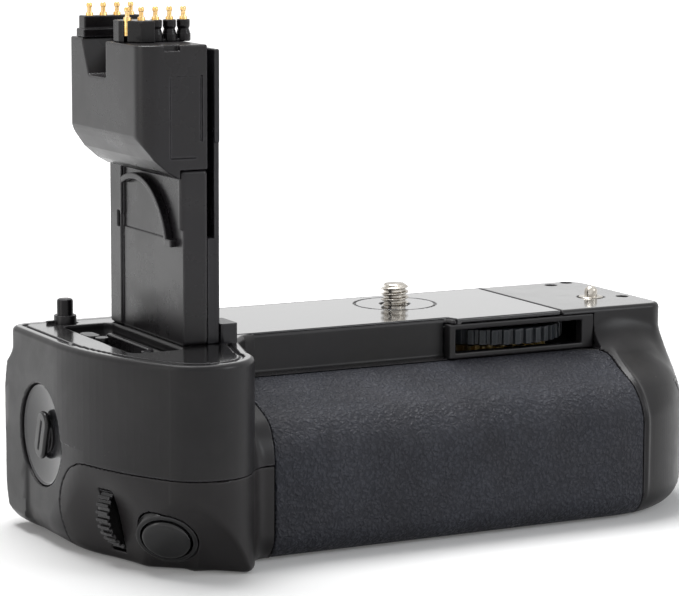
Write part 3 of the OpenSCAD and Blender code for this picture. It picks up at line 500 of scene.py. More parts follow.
def cover(x, y, z):
    """The moulded cover of the control end, below the seam."""
    outer = body(x, y, z)
    form = meet(outer, cover_zone(x, y, z) + 0.05, 0.16)
    form = less(form, hollow(x, y, z, outer))
    u, v, w = in_facet(SHUTTER, x, y, z)
    form = less(form, hypot(u, v) - 6.72, 0.3)
    u, v, w = in_facet(DIAL, x, y, z)
    slot = maximum(np.abs(u - 0.35*np.sin(v*0.28)) - 2.15, hypot(v, w + 7.0) - 9.45)
    return less(form, slot, 0.35)


def front_skin(x, y, z):
    outer = body(x, y, z)
    form = meet(outer + 0.03, maximum(skin_zone(x, z) + 0.06, y + 5.2), 0.25)
    return maximum(form, -(outer + 1.0))


def rear_skin(x, y, z):
    outer = body(x, y, z)
    form = meet(outer, maximum(thumb_zone(x, z) + 0.1, 25.0 - y), 0.5)
    return maximum(form, -(outer + 1.0))


def end_cap(x, y, z):
    """The outer end of the battery tray, flush with the battery end of the body."""
    outer = body(x, y, z)
    form = meet(outer, box(x, y, z, (67.0, -18.2, 5.2), (90, 23.8, 28.2)), 0.3)
    neck = RIGHT - 6.3
    form = less(form, post(y, z, x, KNOB, 8.75, RIGHT - 3.2, 90), 0.4)
    form = less(form, post(y, z, x, KNOB, 2.05, 50, 90))
    form = less(form, post(y, z, x, KNOB, 3.5, 50, neck))
    reach = hypot(y - KNOB[0], z - KNOB[1]) - 13.9
    return less(form, common(reach, x - neck, y - KNOB[0] - 2.5, KNOB[1] - 2.5 - z))


# The stalk and the small moulded pieces


def column(x, y, z):
    """Lower part of the stalk, with the store for the camera's battery door in its left face."""
    form = box(x, y, z, (COLUMN_X[0], STALK_Y[0], DECK), (COLUMN_X[1], STALK_Y[1], JOINT_Z - 0.05), 0.9)
    # wiring shaft, step where the store is set back from the rear edge, its pocket and a notch
    for low, high, edge in (
            ((*SHAFT[0], DECK - 2), (*SHAFT[1], JOINT_Z + 2), 0.0),
            ((-60, -50, 20), (COLUMN_X[0] + 0.55, STALK_Y[1] - 6.4, 69.5), 0.25),
            ((-60, -13.4, 67), (COLUMN_X[0] + 0.8, 16.4, 80), 0.2),
            ((-60, 17.2, 66.8), (COLUMN_X[0] + 0.9, 18.4, 70.2), 0.15)):
        form = less(form, box(x, y, z, low, high), edge)
    return form


def door_catch(x, y, z):
    """Arched rib that holds the camera's battery door."""
    ring = np.abs(hypot(y - 7.5, z - 62) - 16.75) - 0.65
    rib = common(ring, 66 - z, y - 14.6)
    rib = minimum(rib, common(np.abs(z - 66.4) - 0.8, -11.4 - y, y + 8))
    return meet(rib, maximum(COLUMN_X[0] - 0.9 - x, x - COLUMN_X[0] - 0.8), 0.25)


def rail(x, y, z):
    """The rail that guides the stalk in the camera, with its long groove."""
    form = box(x, y, z, (-46.4, STALK_Y[0], DECK), (STALK_X, STALK_Y[1], RIM_Z - 1), 0.35)
    low = box(x, y, z, (COLUMN_X[1], STALK_Y[0] + 0.6, DECK), (-45.8, STALK_Y[1] - 0.6, 67.5), 0.25)
    web = box(x, y, z, (COLUMN_X[1], -9, DECK), (-45.8, 17, RIM_Z - 1), 0.2)
    form = minimum(minimum(form, low), web)
    return less(form, box(x, y, z, (-60, -60, 20), (-30, STALK_Y[0] + 0.35, 87.5)), 0.25)


def block(x, y, z):
    """The head of the stalk: it overhangs to the left and carries the contacts."""
    right, (front, rear) = COLUMN_X[1], STALK_Y
    plan = minimum(
        outline(x, y, arc((BLOCK_X + 4, front + 4), 4, 180, 270, 6)
                + [(right, front), (right, rear - 4), (BLOCK_X, rear - 4)]),
        outline(x, y, [(BLOCK_X, 0), (right, 0), (right, rear)]
                + arc((BLOCK_X + 1.2, rear - 1.2), 1.2, 90, 180, 15)))
    under = outline(x, z, [(BLOCK_X, 130), (BLOCK_X, BLOCK_Z), (-62.1, 87.1), (-60.05, 84.2), (-57, 81.6),
                           (-54.21, JOINT_Z - 2), (-54.21, JOINT_Z), (right, JOINT_Z), (right, 130)])
    form = meet(meet(plan, under, 0.35), z - RIM_Z, 0.45)
    form = less(form, box(x, y, z, (*SHAFT[0], 70), (*SHAFT[1], 105.6)))
    notch = outline(y, z, [(3.4, 112), (3.4, 100.6), (3.9, 100.3), (12.2, 100.3), (12.8, 100.6), (18, 112)])
    form = less(form, maximum(notch, x - (BLOCK_X + 7)), 0.35)
    form = less(form, box(x, y, z, (-57.8, -17, 106.8), (-54.2, front + 1.4, 112)), 0.2)
    # shallow facet at the front, and the line where the two mouldings meet
    form = less(form, box(x, y, z, (-56.4, -17, 84.5), (-50.6, front + 0.22, 101.5)), 0.12)
    return less(form, box(x, y, z, (-49.6, -17, 88), (-49.2, front + 0.35, 101.5)), 0.1)


def deck_plate(x, y, z):
    """The plate that the camera stands on, with a ring engraved round the screw."""
    form = meet(outline(x, y, PLATE_OUTLINE) + 0.05,
                maximum(z - DECK, np.where((y < -5.8) & (x > 17), 43.95, 43.22) - z), 0.22)
    from_screw = hypot(x - SCREW[0], y - SCREW[1])
    form = less(form, from_screw - 3.45, 0.2)
    form = less(form, post(x, y, z, WHEEL, 2.0, 40, 44.2))
    form = less(form, maximum(np.abs(from_screw - 9.3) - 0.2, DECK - 0.3 - z), 0.1)
    for at in ((-30.5, -2.4), (-27.5, 26.2), (12.4, -3.2)):
        form = joined(form, np.sqrt((x - at[0])**2 + (y - at[1])**2 + (z - 44.35)**2) - 0.62, 0.15)
    for at in ((9.0, -0.6), (2.0, 14.0), (22.6, 25.3)):
        leg = post(x, y, z, at, 2.0, 33.0, 43.6)
        form = minimum(form, less(leg, post(x, y, z, at, 1.1, 30, 39.2)))
    return maximum(form, z - DECK)


def base(x, y, z):
    """The stepped base plate, cut off where the lower edge of the body turns up."""
    wide = outline(x, y, rounded((-32.5, -19.8), (61, 20.3), 3))
    plate = meet(wide, maximum(-z, z - 1.1), 0.15)
    step = box(x, y, z, (-30.4, -17.7, 0.2), (58.9, 18.2, 2.2), 0.1)
    boss = post(x, y, z, (SCREW[0], TRAY_Y), 8.0, 0.2, 4.6)
    form = minimum(minimum(plate, step), boss)
    for at in (-11.2, 14.8):
        form = minimum(form, box(x, y, z, (-27.4, at, 1.0), (55.9, at + 2.0, 4.9)))
    form = meet(form, body(x, y, z) + 0.06, 0.15)
    form = less(form, post(x, y, z, (SCREW[0], TRAY_Y), 6.0, -1, 6), 0.2)
    for at in CASE_SCREWS:
        form = less(form, post(x, y, z, at, 2.0, -1, 1.1), 0.15)
    return form


def housing(x, y, z):
    """Frame round the window of the attachment wheel."""
    form = box(x, y, z, *FRAME, 0.4)
    return less(form, box(x, y, z, (15.4, -20, 37.3), (48.4, 10, 42.5)), 0.35)


def rear_strip(x, y, z):
    form = minimum(box(x, y, z, (-62.4, 16.3, RIM_Z), (-49.2, 19.5, STRIP_Z), 0.25),
                   box(x, y, z, (-62.8, 15.7, RIM_Z), (-48.8, 19.9, 109.85), 0.2))
    for i in range(4):
        form = less(form, hypot(x - PIN_X - PIN_STEP*i, y - REAR_ROW_Y) - PIN_HOLE, 0.12)
    return form


def front_strip(x, y, z):
    plan = outline(x, y, [(-62.3, 0.9), (-62.3, -1.9), (-58.7, -6.1), (-55.8, -6.1), (-55.8, 0.9)])
    level = maximum(RIM_Z - z, z - STRIP_Z)
    form = meet(plan, level, 0.25)
    form = minimum(form, box(x, y, z, (-56.2, -3.4, RIM_Z), (-46.6, -1.6, RIM_Z + 0.6), 0.1))
    for i in (2, 3, 4):
        collar = hypot(x - (PIN_X + PIN_STEP*i), y - FRONT_ROW_Y) - 1.4
        waist = collar - 0.15*smooth(109.9, 109.5, z) + 0.22*np.exp(-((z - 110.6)/0.35)**2)
        form = minimum(form, meet(waist, level, 0.22))
    for i in range(5):
        form = less(form, hypot(x - PIN_X - PIN_STEP*i, y - FRONT_ROW_Y) - PIN_HOLE, 0.12)
    return form


def hinge(x, y, z):
    """Curved rail in the recess where the camera's battery door comes off."""
    form = outline(x, y, [(-61.3, 8.2), (-61.3, -12.9)] + arc((-63.6, -12.9), 2.3, 0, -90, 10)
                   + arc((-63.6, -12.9), 3.6, -90, 0, 8) + [(-60, 8.2)])
    return meet(form, maximum(RECESS_Z - z, z - DECK), 0.35)


def switch_bar(x, y, z):
    """Bar of the power switch, raised from its hub."""
    turn = radians(18)
    up, side = z - POWER[1], y - POWER[0]
    a = up*cos(turn) - side*sin(turn)
    b = side*cos(turn) + up*sin(turn)
    capsule = hypot(maximum(np.abs(a) - 2.8, 0.0), b) - 2.65
    bar = meet(capsule, maximum(LEFT + 0.05 - x, x - (LEFT + 1.4)), 0.65)
    bar = less(bar, common(np.abs(b) - 0.35, np.abs(a) - 3.4, x - (LEFT + 0.35)), 0.15)
    return minimum(bar, post(y, z, x, POWER, 3.95, LEFT + 1.3, LEFT + 7))


def knob(x, y, z):
    """Release knob of the battery tray: a round plate with a bar to turn it by."""
    plate = post(y, z, x, KNOB, 8.35, RIGHT - 2.9, RIGHT - 1.5, 0.4)
    bar = box(x, y, z, (RIGHT - 1.9, KNOB[0] - 1.7, KNOB[1] - 7.6),
              (RIGHT - 0.3, KNOB[0] + 1.7, KNOB[1] + 7.6), 0.7)
    form = joined(plate, bar, 0.4)
    return minimum(form, post(y, z, x, KNOB, 1.98, RIGHT - 8.4, RIGHT - 2.6))


# Finishes


def feed(made, **inputs):
    """Sets a node's inputs, by name or by number as in i0, to values or to the sockets that feed them."""
    for label, value in inputs.items():
        by_number = label[0] == "i" and label[1:].isdigit()
        socket = made.inputs[int(label[1:]) if by_number else label.replace("_", " ")]
        if isinstance(value, bpy.types.NodeSocket):
            made.id_data.links.new(value, socket)
        else:
            socket.default_value = value


def node(tree, kind, settings=None, **inputs):
    made = tree.nodes.new("ShaderNode" + kind)
    for key, value in (settings or {}).items():
        setattr(made, key, value)
    feed(made, **inputs)
    return made


def effect(name, inputs, outputs):
    """An empty node group with named inputs and outputs."""
    tree = bpy.data.node_groups.new(name, "ShaderNodeTree")
    for label, value in inputs.items():
        made = tree.interface.new_socket(label, in_out="INPUT", socket_type="NodeSocketFloat")
        made.default_value = value
    for label in outputs:
        tree.interface.new_socket(label, in_out="OUTPUT", socket_type="NodeSocketFloat")
    return tree, tree.nodes.new("NodeGroupInput"), tree.nodes.new("NodeGroupOutput")


def maths(operation, a, b, clamp=False):
    """A calculation with two values, of which one at least is a socket."""
    tree = (a if isinstance(a, bpy.types.NodeSocket) else b).id_data
    return node(tree, "Math", {"operation": operation, "use_clamp": clamp}, i0=a, i1=b).outputs[0]


def times(a, b, clamp=False):
    return maths("MULTIPLY", a, b, clamp)


def plus(a, b, clamp=False):
    return maths("ADD", a, b, clamp)


def minus(a, b, clamp=False):
    return maths("SUBTRACT", a, b, clamp)


def ramp(value, low, high, to_low=0.0, to_high=1.0):
    """A value taken from one range to another, with soft ends."""
    return node(value.id_data, "MapRange", {"interpolation_type": "SMOOTHSTEP"}, i0=value, i1=low, i2=high,
                i3=to_low, i4=to_high).outputs[0]


def noise(scale, detail, vector, roughness=0.5):
    made = node(vector.id_data, "TexNoise", None, Scale=scale, Detail=detail, Roughness=roughness,
                Vector=vector)
    return made.outputs["Fac"]


def places(tree):
    return node(tree, "TexCoord").outputs["Object"]


def facing_up(tree):
    """How far a face looks up: the Z of its normal."""
    return node(tree, "SeparateXYZ", None, Vector=node(tree, "NewGeometry").outputs["Normal"]).outputs["Z"]


def make_mould_texture():
    """Spark-eroded texture of a moulded face: fine height, and slow changes of tone and gloss."""
    tree, start, end = effect("mould_texture", {"Grain Size": 0.35, "Depth": 1.0},
                              ("Height", "Tone", "Gloss"))
    at = places(tree)
    scale = maths("DIVIDE", 1000.0, start.outputs["Grain Size"])
    fine = noise(scale, 3.0, at, 0.6)
    pits = node(tree, "TexVoronoi", None, Vector=at, Scale=times(scale, 0.8))
    height = plus(times(fine, 0.65), times(pits.outputs["Distance"], 0.35))
    feed(end, Height=times(height, start.outputs["Depth"]),
         Tone=ramp(noise(38.0, 3.0, at), 0.3, 0.7),
         Gloss=ramp(noise(90.0, 4.0, at, 0.62), 0.25, 0.75))
    return tree


def make_edge_polish_and_highlight():
    """Mask of the outer edges, where handling polishes a face and light catches it; the finishes lighten
    their colour under it as a painted highlight.
    """
    tree, start, end = effect("edge_polish_and_highlight", {"Reach": 0.0006, "Break Up": 0.5}, ("Mask",))
    soft = node(tree, "Bevel", {"samples": 4}, Radius=start.outputs["Reach"])
    flat = node(tree, "NewGeometry")
    turn = node(tree, "VectorMath", {"operation": "DOT_PRODUCT"}, i0=soft.outputs[0],
                i1=flat.outputs["Normal"])
    bent = ramp(minus(1.0, turn.outputs["Value"]), 0.004, 0.11)
    spots = ramp(noise(420.0, 4.0, places(tree), 0.7), 0.3, 0.62)
    worn = minus(1.0, times(minus(1.0, spots), start.outputs["Break Up"]))
    feed(end, Mask=times(bent, worn))
    return tree


def make_dust():
    """Mask of fine dust, thicker on faces that look up."""
    tree, start, end = effect("dust", {"Amount": 0.3}, ("Mask",))
    at = places(tree)
    specks = node(tree, "TexVoronoi", None, Vector=at, Scale=520.0)
    near = ramp(specks.outputs["Distance"], 0.1, 0.04)
    few = ramp(noise(160.0, 2.0, at), 0.56, 0.66)
    lying = ramp(facing_up(tree), -0.4, 0.9, 0.15, 1.0)
    film = times(ramp(noise(60.0, 5.0, at, 0.65), 0.4, 0.8), 0.22)
    mask = times(plus(times(near, few), film), lying)
    feed(end, Mask=times(mask, start.outputs["Amount"], True))
    return tree


def make_pebble_grain():
    """Leather-like grain: low rounded pebbles of uneven size, with shallow creases between them, and a mask
    of the creases where the skin paints shade.
    """
    tree, start, end = effect("pebble_grain", {"Pebble Size": 1.0}, ("Height", "Crease", "Tone"))
    at = places(tree)
    wander = node(tree, "TexNoise", None, Vector=at, Scale=520.0, Detail=4.0)
    shift = node(tree, "VectorMath", {"operation": "SCALE"}, i0=wander.outputs["Color"], Scale=0.0016)
    moved = node(tree, "VectorMath", {"operation": "ADD"}, i0=at, i1=shift.outputs[0]).outputs[0]
    scale = maths("DIVIDE", 1000.0, start.outputs["Pebble Size"])
    domes = node(tree, "TexVoronoi", {"feature": "SMOOTH_F1"}, Vector=moved, Scale=scale, Smoothness=0.35)
    small = node(tree, "TexVoronoi", {"feature": "SMOOTH_F1"}, Vector=moved, Scale=times(scale, 1.9),
                 Smoothness=0.3)
    crown = ramp(domes.outputs["Distance"], 0.75, 0.1)
    bead = ramp(small.outputs["Distance"], 0.7, 0.1)
    folds = noise(330.0, 3.0, moved, 0.6)
    height = plus(times(crown, 0.55), times(bead, 0.25))
    height = plus(height, times(folds, 0.35))
    feed(end, Height=height, Crease=ramp(height, 0.62, 0.3),
         Tone=ramp(noise(70.0, 3.0, at), 0.35, 0.65))
    return tree


def make_turning_marks():
    """Fine lines left on metal by the tool, round the Z axis or along it."""
    tree, start, end = effect("turning_marks", {"Fineness": 9000.0}, ("Height", "Tone"))
    squash = node(tree, "VectorMath", {"operation": "MULTIPLY"}, i0=places(tree), i1=(0.06, 0.06, 1.0))
    feed(end, Height=noise(start.outputs["Fineness"], 3.0, squash.outputs[0], 0.7),
         Tone=ramp(noise(900.0, 3.0, places(tree)), 0.3, 0.7))
    return tree


EFFECTS = {
    "mould": make_mould_texture(), "edges": make_edge_polish_and_highlight(), "dust": make_dust(),
    "pebbles": make_pebble_grain(), "marks": make_turning_marks(),
}


def colour(code):
    """Linear colour from a hex code."""
    parts = [int(code[i:i + 2], 16)/255 for i in (1, 3, 5)]
    return tuple([c/12.92 if c < 0.04045 else ((c + 0.055)/1.055)**2.4 for c in parts] + [1.0])


def material(name):
    made = bpy.data.materials.new(name)
    made.use_nodes = True
    tree = made.node_tree
    return made, tree, tree.nodes["Principled BSDF"]


def use(tree, key, **values):
    return node(tree, "Group", {"node_tree": EFFECTS[key]}, **values).outputs


def blend(share, a, b):
    """Colour a turning to colour b."""
    return node(share.id_data, "Mix", {"data_type": "RGBA"}, i0=share, i6=a, i7=b).outputs[2]


def bump(height, distance):
    return node(height.id_data, "Bump", None, Height=height, Distance=distance, Strength=1.0).outputs[0]


def plastic(name, deep, light, gloss, grain=0.35, depth=12e-6, dust=0.2, specular=0.24, top=0.0):
    """Moulded plastic: two close tones, fine spark texture, polished edges with a painted highlight,
    a little dust. Where top isn't zero, its level faces are glossier."""
    made, tree, shader = material(name + "_plastic")
    mould = use(tree, "mould", Grain_Size=grain)
    edges = use(tree, "edges")["Mask"]
    specks = use(tree, "dust", Amount=dust)["Mask"]
    shade = blend(mould["Tone"], colour(deep), colour(light))
    # painted highlight: the colour turns lighter grey along the outer edges
    shade = blend(times(edges, 0.3), shade, colour("#77757a"))
    shade = blend(specks, shade, colour("#a8a49c"))
    rough = ramp(mould["Gloss"], 0.0, 1.0, gloss - 0.04, gloss + 0.05)
    rough = minus(rough, times(edges, 0.12))
    rough = plus(rough, times(specks, 0.3), True)
    if top > 0:
        level = ramp(facing_up(tree), 0.93, 0.995)
        rough = minus(rough, times(level, 0.2), True)
        feed(shader, Coat_Weight=times(level, top), Coat_Roughness=0.12)
    feed(shader, Base_Color=shade, Roughness=rough, Specular_IOR_Level=specular,
         Normal=bump(mould["Height"], depth))
    return made


def leather(name, deep, light, crease, size):
    """Rubber skin with a leather grain, its creases darkened as painted shade."""
    made, tree, shader = material(name)
    grain = use(tree, "pebbles", Pebble_Size=size)
    fine = use(tree, "mould", Grain_Size=0.2)
    specks = use(tree, "dust", Amount=0.25)["Mask"]
    shade = blend(grain["Tone"], colour(deep), colour(light))
    # painted shade: the colour darkens in the grain's creases
    shade = blend(times(grain["Crease"], 0.5), shade, colour(crease))
    shade = blend(specks, shade, colour("#9a98a0"))
    rough = ramp(grain["Height"], 0.2, 0.9, 0.62, 0.42)
    rough = plus(rough, times(fine["Gloss"], 0.08), True)
    height = plus(grain["Height"], times(fine["Height"], 0.12))
    feed(shader, Base_Color=shade, Roughness=rough, Specular_IOR_Level=0.3,
         Normal=bump(height, 0.0004))
    return made


def metal(name, clean, dull, gloss, fineness=9000.0, wear="#5d5850"):
    """Plated or bare metal, with tool marks, some dulling and a painted highlight along its edges."""
    made, tree, shader = material(name)
    marks = use(tree, "marks", Fineness=fineness)
    edges = use(tree, "edges", Break_Up=0.7)["Mask"]
    mould = use(tree, "mould", Grain_Size=0.5)
    shade = blend(marks["Tone"], colour(clean), colour(dull))
    shade = blend(ramp(mould["Gloss"], 0.75, 1.0, 0.0, 0.3), shade, colour(wear))
    # painted highlight: the colour turns near white along the edges
    shade = blend(times(edges, 0.4), shade, colour("#f2efe8"))
    feed(shader, Base_Color=shade, Metallic=1.0, Normal=bump(marks["Height"], 1e-5),
         Roughness=ramp(marks["Tone"], 0.0, 1.0, gloss, gloss + 0.12))
    return made


def circuit(name, deep, light):
    """Solder-masked board or film, with traces showing through."""
    made, tree, shader = material(name)
    traces = node(tree, "TexBrick", {"offset": 0.5, "squash": 1.0}, Vector=places(tree), Scale=420.0,
                  Color1=colour(deep), Color2=colour(light), Mortar=colour(light))
    specks = use(tree, "dust", Amount=0.4)["Mask"]
    mould = use(tree, "mould", Grain_Size=0.3)
    feed(shader, Base_Color=blend(specks, traces.outputs["Color"], colour("#b9b7a4")),
         Roughness=ramp(mould["Gloss"], 0.0, 1.0, 0.3, 0.5),
         Normal=bump(traces.outputs["Fac"], 3e-5))
    return made


FINISH = {
    "body": plastic("body", "#1a191a", "#222123", 0.36, top=0.8),
    "cover": plastic("cover", "#1b191a", "#232122", 0.36),
    "deck": plastic("deck", "#1d1d1f", "#262629", 0.15, 0.3, 4e-6, specular=0.5, top=1.0),
    "stalk": plastic("stalk", "#161416", "#1d1b1e", 0.28, 0.3, 5e-6, specular=0.3),
    "rail": plastic("rail", "#151419", "#1c1b20", 0.24, 0.3, 5e-6, specular=0.3),
    "strip": plastic("strip", "#0f0d0f", "#181518", 0.24, 0.25, 5e-6),
    "inner": plastic("inner", "#0e0e0f", "#161617", 0.5, dust=0.4),
    "button": plastic("button", "#121213", "#1a1a1c", 0.18, 0.25, 4e-6, specular=0.45),
    "lever": plastic("lever", "#070708", "#0d0d0e", 0.2, 0.25, 4e-6, specular=0.4),
    "wheel": plastic("wheel", "#22262a", "#2f3438", 0.36),
    "pack": plastic("pack", "#2d2f33", "#383b40", 0.46),
    # the skin's third colour is the painted shade of its creases
    "skin": leather("grip_leather", "#26272e", "#2e3038", "#15161c", 0.85),
    "gold": metal("contact_gold", "#f3d28c", "#d9ab5c", 0.2, 12000.0, "#a4813c"),
    "screw": metal("screw_steel", "#cfcac2", "#a39d94", 0.2),
    "sheet": metal("sheet_steel", "#9b9a96", "#82817d", 0.34),
    "small": metal("small_steel", "#b4b2ad", "#8f8d88", 0.26),
    "brass": metal("gear_brass", "#c6ae70", "#a48a4c", 0.28),
    "board": circuit("board_mask", "#1a3b22", "#25502f"),
    "film": circuit("harness_film", "#7a4c18", "#9b6424"),
}

# Pieces made from the forms
# Rows of name, form, two corners, pitch of the net, finish, the node that it stands for, the share of the
# net's faces that stays and, for a piece that moves, its body

MOULDED = (
    ("grip_shell", shell, (LEFT, NOSE, 0), (RIGHT, BACK, DECK), FINE, "body", "main_body", 0.22),
    ("control_cover_moulding", cover, (LEFT, NOSE, 0), (-38, 2, SEAM_Z), FINE*0.9,
     "cover", "control_cover", 0.3),
    ("grip_leather_front", front_skin, (-40, GRIP_Y, 0), (54, -4, 37), FINE, "skin", "front_grip_skin", 0.3),
    ("grip_leather_thumb", rear_skin, (-70, 25, 8), (-36, BACK, 28), FINE, "skin", "thumb_rest_skin", 0.3),
    ("base_plate_moulding", base, (-35.5, -22.8, 0), (64, 23.3, 4.9), FINE, "body", "base_plate", 0.1),
    ("deck_plate", deck_plate, (-40, -9, 33), (43, 29, DECK), FINE*0.75, "deck", "top_plate", 0.18),
    ("wheel_window_frame", housing, *FRAME, 0.3, "body", "wheel_housing", 0.3),
    ("stalk_column", column, (COLUMN_X[0], STALK_Y[0], DECK), (COLUMN_X[1], STALK_Y[1], JOINT_Z), FINE*0.7,
     "stalk", "stalk_column", 0.3),
    ("door_catch_rib", door_catch, (-55.1, -12, 64), (-53.4, 16, 80), 0.22, "stalk", "door_catch_arch", 0.5),
    ("stalk_rail", rail, (COLUMN_X[1], STALK_Y[0], DECK), (STALK_X, STALK_Y[1], RIM_Z - 1), FINE*0.7,
     "rail", "stalk_rail", 0.3),
    ("contact_head", block, (BLOCK_X, STALK_Y[0], 80), (COLUMN_X[1], STALK_Y[1], RIM_Z), FINE*0.7,
     "stalk", "contact_block", 0.3),
    ("rear_contact_strip", rear_strip, (-62.8, 15.7, RIM_Z), (-48.8, 19.9, STRIP_Z), 0.22,
     "strip", "rear_contact_strip", 0.4),
    ("front_contact_strip", front_strip, (-62.3, -6.1, RIM_Z), (-46.6, 0.9, STRIP_Z), 0.2,
     "strip", "front_contact_strip", 0.4),
    ("door_hinge_rail", hinge, (-64, -16.5, RECESS_Z), (-60, 8.2, DECK), 0.25, "stalk", "hinge_rail", 0.4),
    ("power_switch_bar", switch_bar, (LEFT, POWER[0] - 6, POWER[1] - 6),
     (LEFT + 7, POWER[0] + 6, POWER[1] + 6), 0.22, "lever", "power_lever", 0.4, "power"),
    ("tray_end_cap", end_cap, (67, -18.2, 5.2), (RIGHT, 23.8, 28.2), FINE*0.8,
     "body", "tray_end_cap", 0.3, "tray"),
    ("tray_release_knob", knob, (RIGHT - 8.4, KNOB[0] - 8.4, KNOB[1] - 8.4),
     (RIGHT, KNOB[0] + 8.4, KNOB[1] + 8.4), 0.3, "button", "tray_knob", 0.4, "knob"),
)
for row in MOULDED:
    moulded(*row)

# Turned pieces


def upright(spots):
    return [Matrix.Translation((x, y, 0.0)) for x, y in spots]


CONTACT_PIN = [(0, RIM_Z + 1.4), (0.8, RIM_Z + 1.4), (0.8, 113.05), (0.74, 113.2), (0.52, 113.3),
               (0.46, 113.55), (0.48, 114.3), (0.62, 114.45), (0.64, 114.9), (0.54, 115.2), (0.32, 115.36),
               (0, 115.4)]
for name, count, row_y, body_name in (("rear_contact_pins", 4, REAR_ROW_Y, "rear_pins"),
                                      ("front_contact_pins", 5, FRONT_ROW_Y, "front_pins")):
    turned(name, CONTACT_PIN, upright((PIN_X + PIN_STEP*i, row_y) for i in range(count)), "gold", name,
           body_name, 24)
turned("interlock_peg", [(0, 39.9), (2.4, 39.9), (2.4, 40.9), (1.8, 40.9), (1.8, 49.9), (1.66, 50.25),
       (1.35, 50.4), (0, 50.4)], upright([PEG]), "strip", "interlock_peg", "peg")
turned("locating_pin", [(0, 42.9), (1.5, 42.9), (1.5, 44.6), (2.85, 44.6), (2.85, 45.05), (2.7, 45.2),
       (1.5, 45.2), (1.5, 46.6), (1.4, 46.9), (0.85, 47.45), (0.5, 47.6), (0, 47.6)], upright([PIN]),
       "screw", "locating_pin")
shutter_at = facet_matrix(SHUTTER)
turned("shutter_button", [(0, -9), (1.8, -9), (1.8, -3), (5.2, -3), (5.2, 0.25), (5.05, 0.62), (4.7, 0.85),
       (4.35, 0.9), (3.9, 0.84), (2.5, 0.7), (0, 0.62)], [shutter_at], "button",
       "shutter_button", "shutter", 72)
turned("shutter_ring", [(5.55, -5), (5.55, 0.0), (5.66, 0.16), (5.95, 0.24), (6.3, 0.2), (6.55, 0.02),
       (6.62, -0.3), (6.62, -6.5), (1.85, -6.5), (1.85, -5), (5.55, -5)], [shutter_at], "lever",
       "shutter_collar", "body", 72)
power_at = Matrix(((0, 0, -1, LEFT), (0, 1, 0, POWER[0]), (1, 0, 0, POWER[1]), (0, 0, 0, 1)))
DISH_RADIUS = 60
dish = [(r, DISH_RADIUS - 1.9 - sqrt(DISH_RADIUS**2 - r*r)) for r in (4.6, 6, 7.5, 9, 10, 10.6)]
turned("power_switch_dish", [(4.05, -3.2), (4.05, -1.84)] + dish
       + [(10.85, -0.82), (10.92, -1.1), (10.92, -3.2), (4.05, -3.2)], [power_at], "deck",
       "power_escutcheon", "body", 96)
for name, (bx, bz), body_name in zip(("exposure_lock_button", "focus_point_button", "focus_start_button"),
                                     REAR_BUTTONS, ("lock_button", "focus_button", "start_button")):
    low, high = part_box(name)
    front, face = low.y/MM, high.y/MM
    button_at = Matrix(((1, 0, 0, bx), (0, 0, 1, 0), (0, -1, 0, bz), (0, 0, 0, 1)))
    turned(name, [(0, front), (4.0, front), (4.0, front + 1.2), (3.2, front + 1.2), (3.2, face - 0.6),
           (3.05, face - 0.25), (2.7, face - 0.04), (2.3, face), (1.4, face - 0.12), (0, face - 0.16)],
           [button_at], "button", name, body_name, 64)
turned("case_screw_heads", [(0, 1.0), (0.7, 1.0), (0.8, 0.42), (1.4, 0.34), (1.65, 0.55), (1.65, 1.3),
       (1.0, 1.4), (1.0, 3.8), (0, 3.8)], upright(CASE_SCREWS), "screw", "case_screws", steps=32)


def camera_screw():
    """The threaded camera screw: a single helix run into a plain shank."""
    steps, rows, thread_pitch = 64, 96, 1.27
    low, high, major, minor = DECK - 0.2, 49.8, 3.175, 2.5
    shank = [(2.0, 31.2), (2.0, 33.2), (2.975, 33.2), (2.975, DECK - 0.25)]
    end = [(2.1, high), (1.0, high)]
    thread = [(None, low + (high - 0.15 - low)*k/rows) for k in range(rows + 1)]
    profile = shank + thread + end
    points, faces = [], []
    for plain, height in profile:
        for i in range(steps):
            turn = 2*pi*i/steps
            radius = plain
            if radius is None:
                phase = ((height - low)/thread_pitch - turn/(2*pi)) % 1.0
                crest = min(max(0.0, 1.0 - abs(phase - 0.5)*3.1)*1.35, 1.0)
                fade = min(1.0, (height - low)/0.5)*min(1.0, max(0.0, high - 0.1 - height)/0.7)
                radius = min(minor + (major - minor)*crest*fade, 2.1 + (high - height)*1.6)
            x, y = SCREW[0] + radius*cos(turn), SCREW[1] + radius*sin(turn)
            points.append((x*MM, y*MM, height*MM))
    for row in range(len(profile) - 1):
        for i in range(steps):
            j = (i + 1) % steps
            faces.append((row*steps + i, row*steps + j, (row + 1)*steps + j, (row + 1)*steps + i))
    faces.append(tuple(reversed(range(steps))))
    faces.append(tuple((len(profile) - 1)*steps + i for i in range(steps)))
    crisp("camera_screw_thread", points, faces, 50, "screw", "camera_screw", "screw")


camera_screw()

# Solids whose shape is right already, with their finish and the width of their rounded edges in mm

CARRIED = {
    "bay_frame": ("inner", 0.2), "gear_frame": ("sheet", 0.15),
    "attachment_wheel": ("wheel", 0.16), "wheel_gear": ("brass", 0.08), "wheel_axle": ("small", 0.1),
    "screw_gear": ("brass", 0.08), "screw_clip": ("sheet", 0.08), "tripod_socket": ("small", 0.25),
    "stalk_harness": ("film", 0), "hinge_bar": ("stalk", 0.3), "hinge_post": ("stalk", 0.3),
    "stalk_step": ("rail", 0.25), "stalk_latch_pin": ("small", 0.12), "peg_collar": ("stalk", 0.15),
    "shutter_switch": ("film", 0.1), "main_dial": ("lever", 0.12), "dial_axle": ("small", 0.1),
    "dial_bracket": ("sheet", 0.1), "power_detent": ("inner", 0.1), "rear_button_board": ("board", 0.05),
    "control_board": ("board", 0.1), "bay_contact_block": ("inner", 0.15), "bay_contacts": ("gold", 0.08),
    "battery_tray": ("inner", 0.2), "tray_bolt": ("sheet", 0.12), "battery_outer": ("pack", 0.5),
    "battery_inner": ("pack", 0.5), "frame_screws": ("screw", 0.1),
}
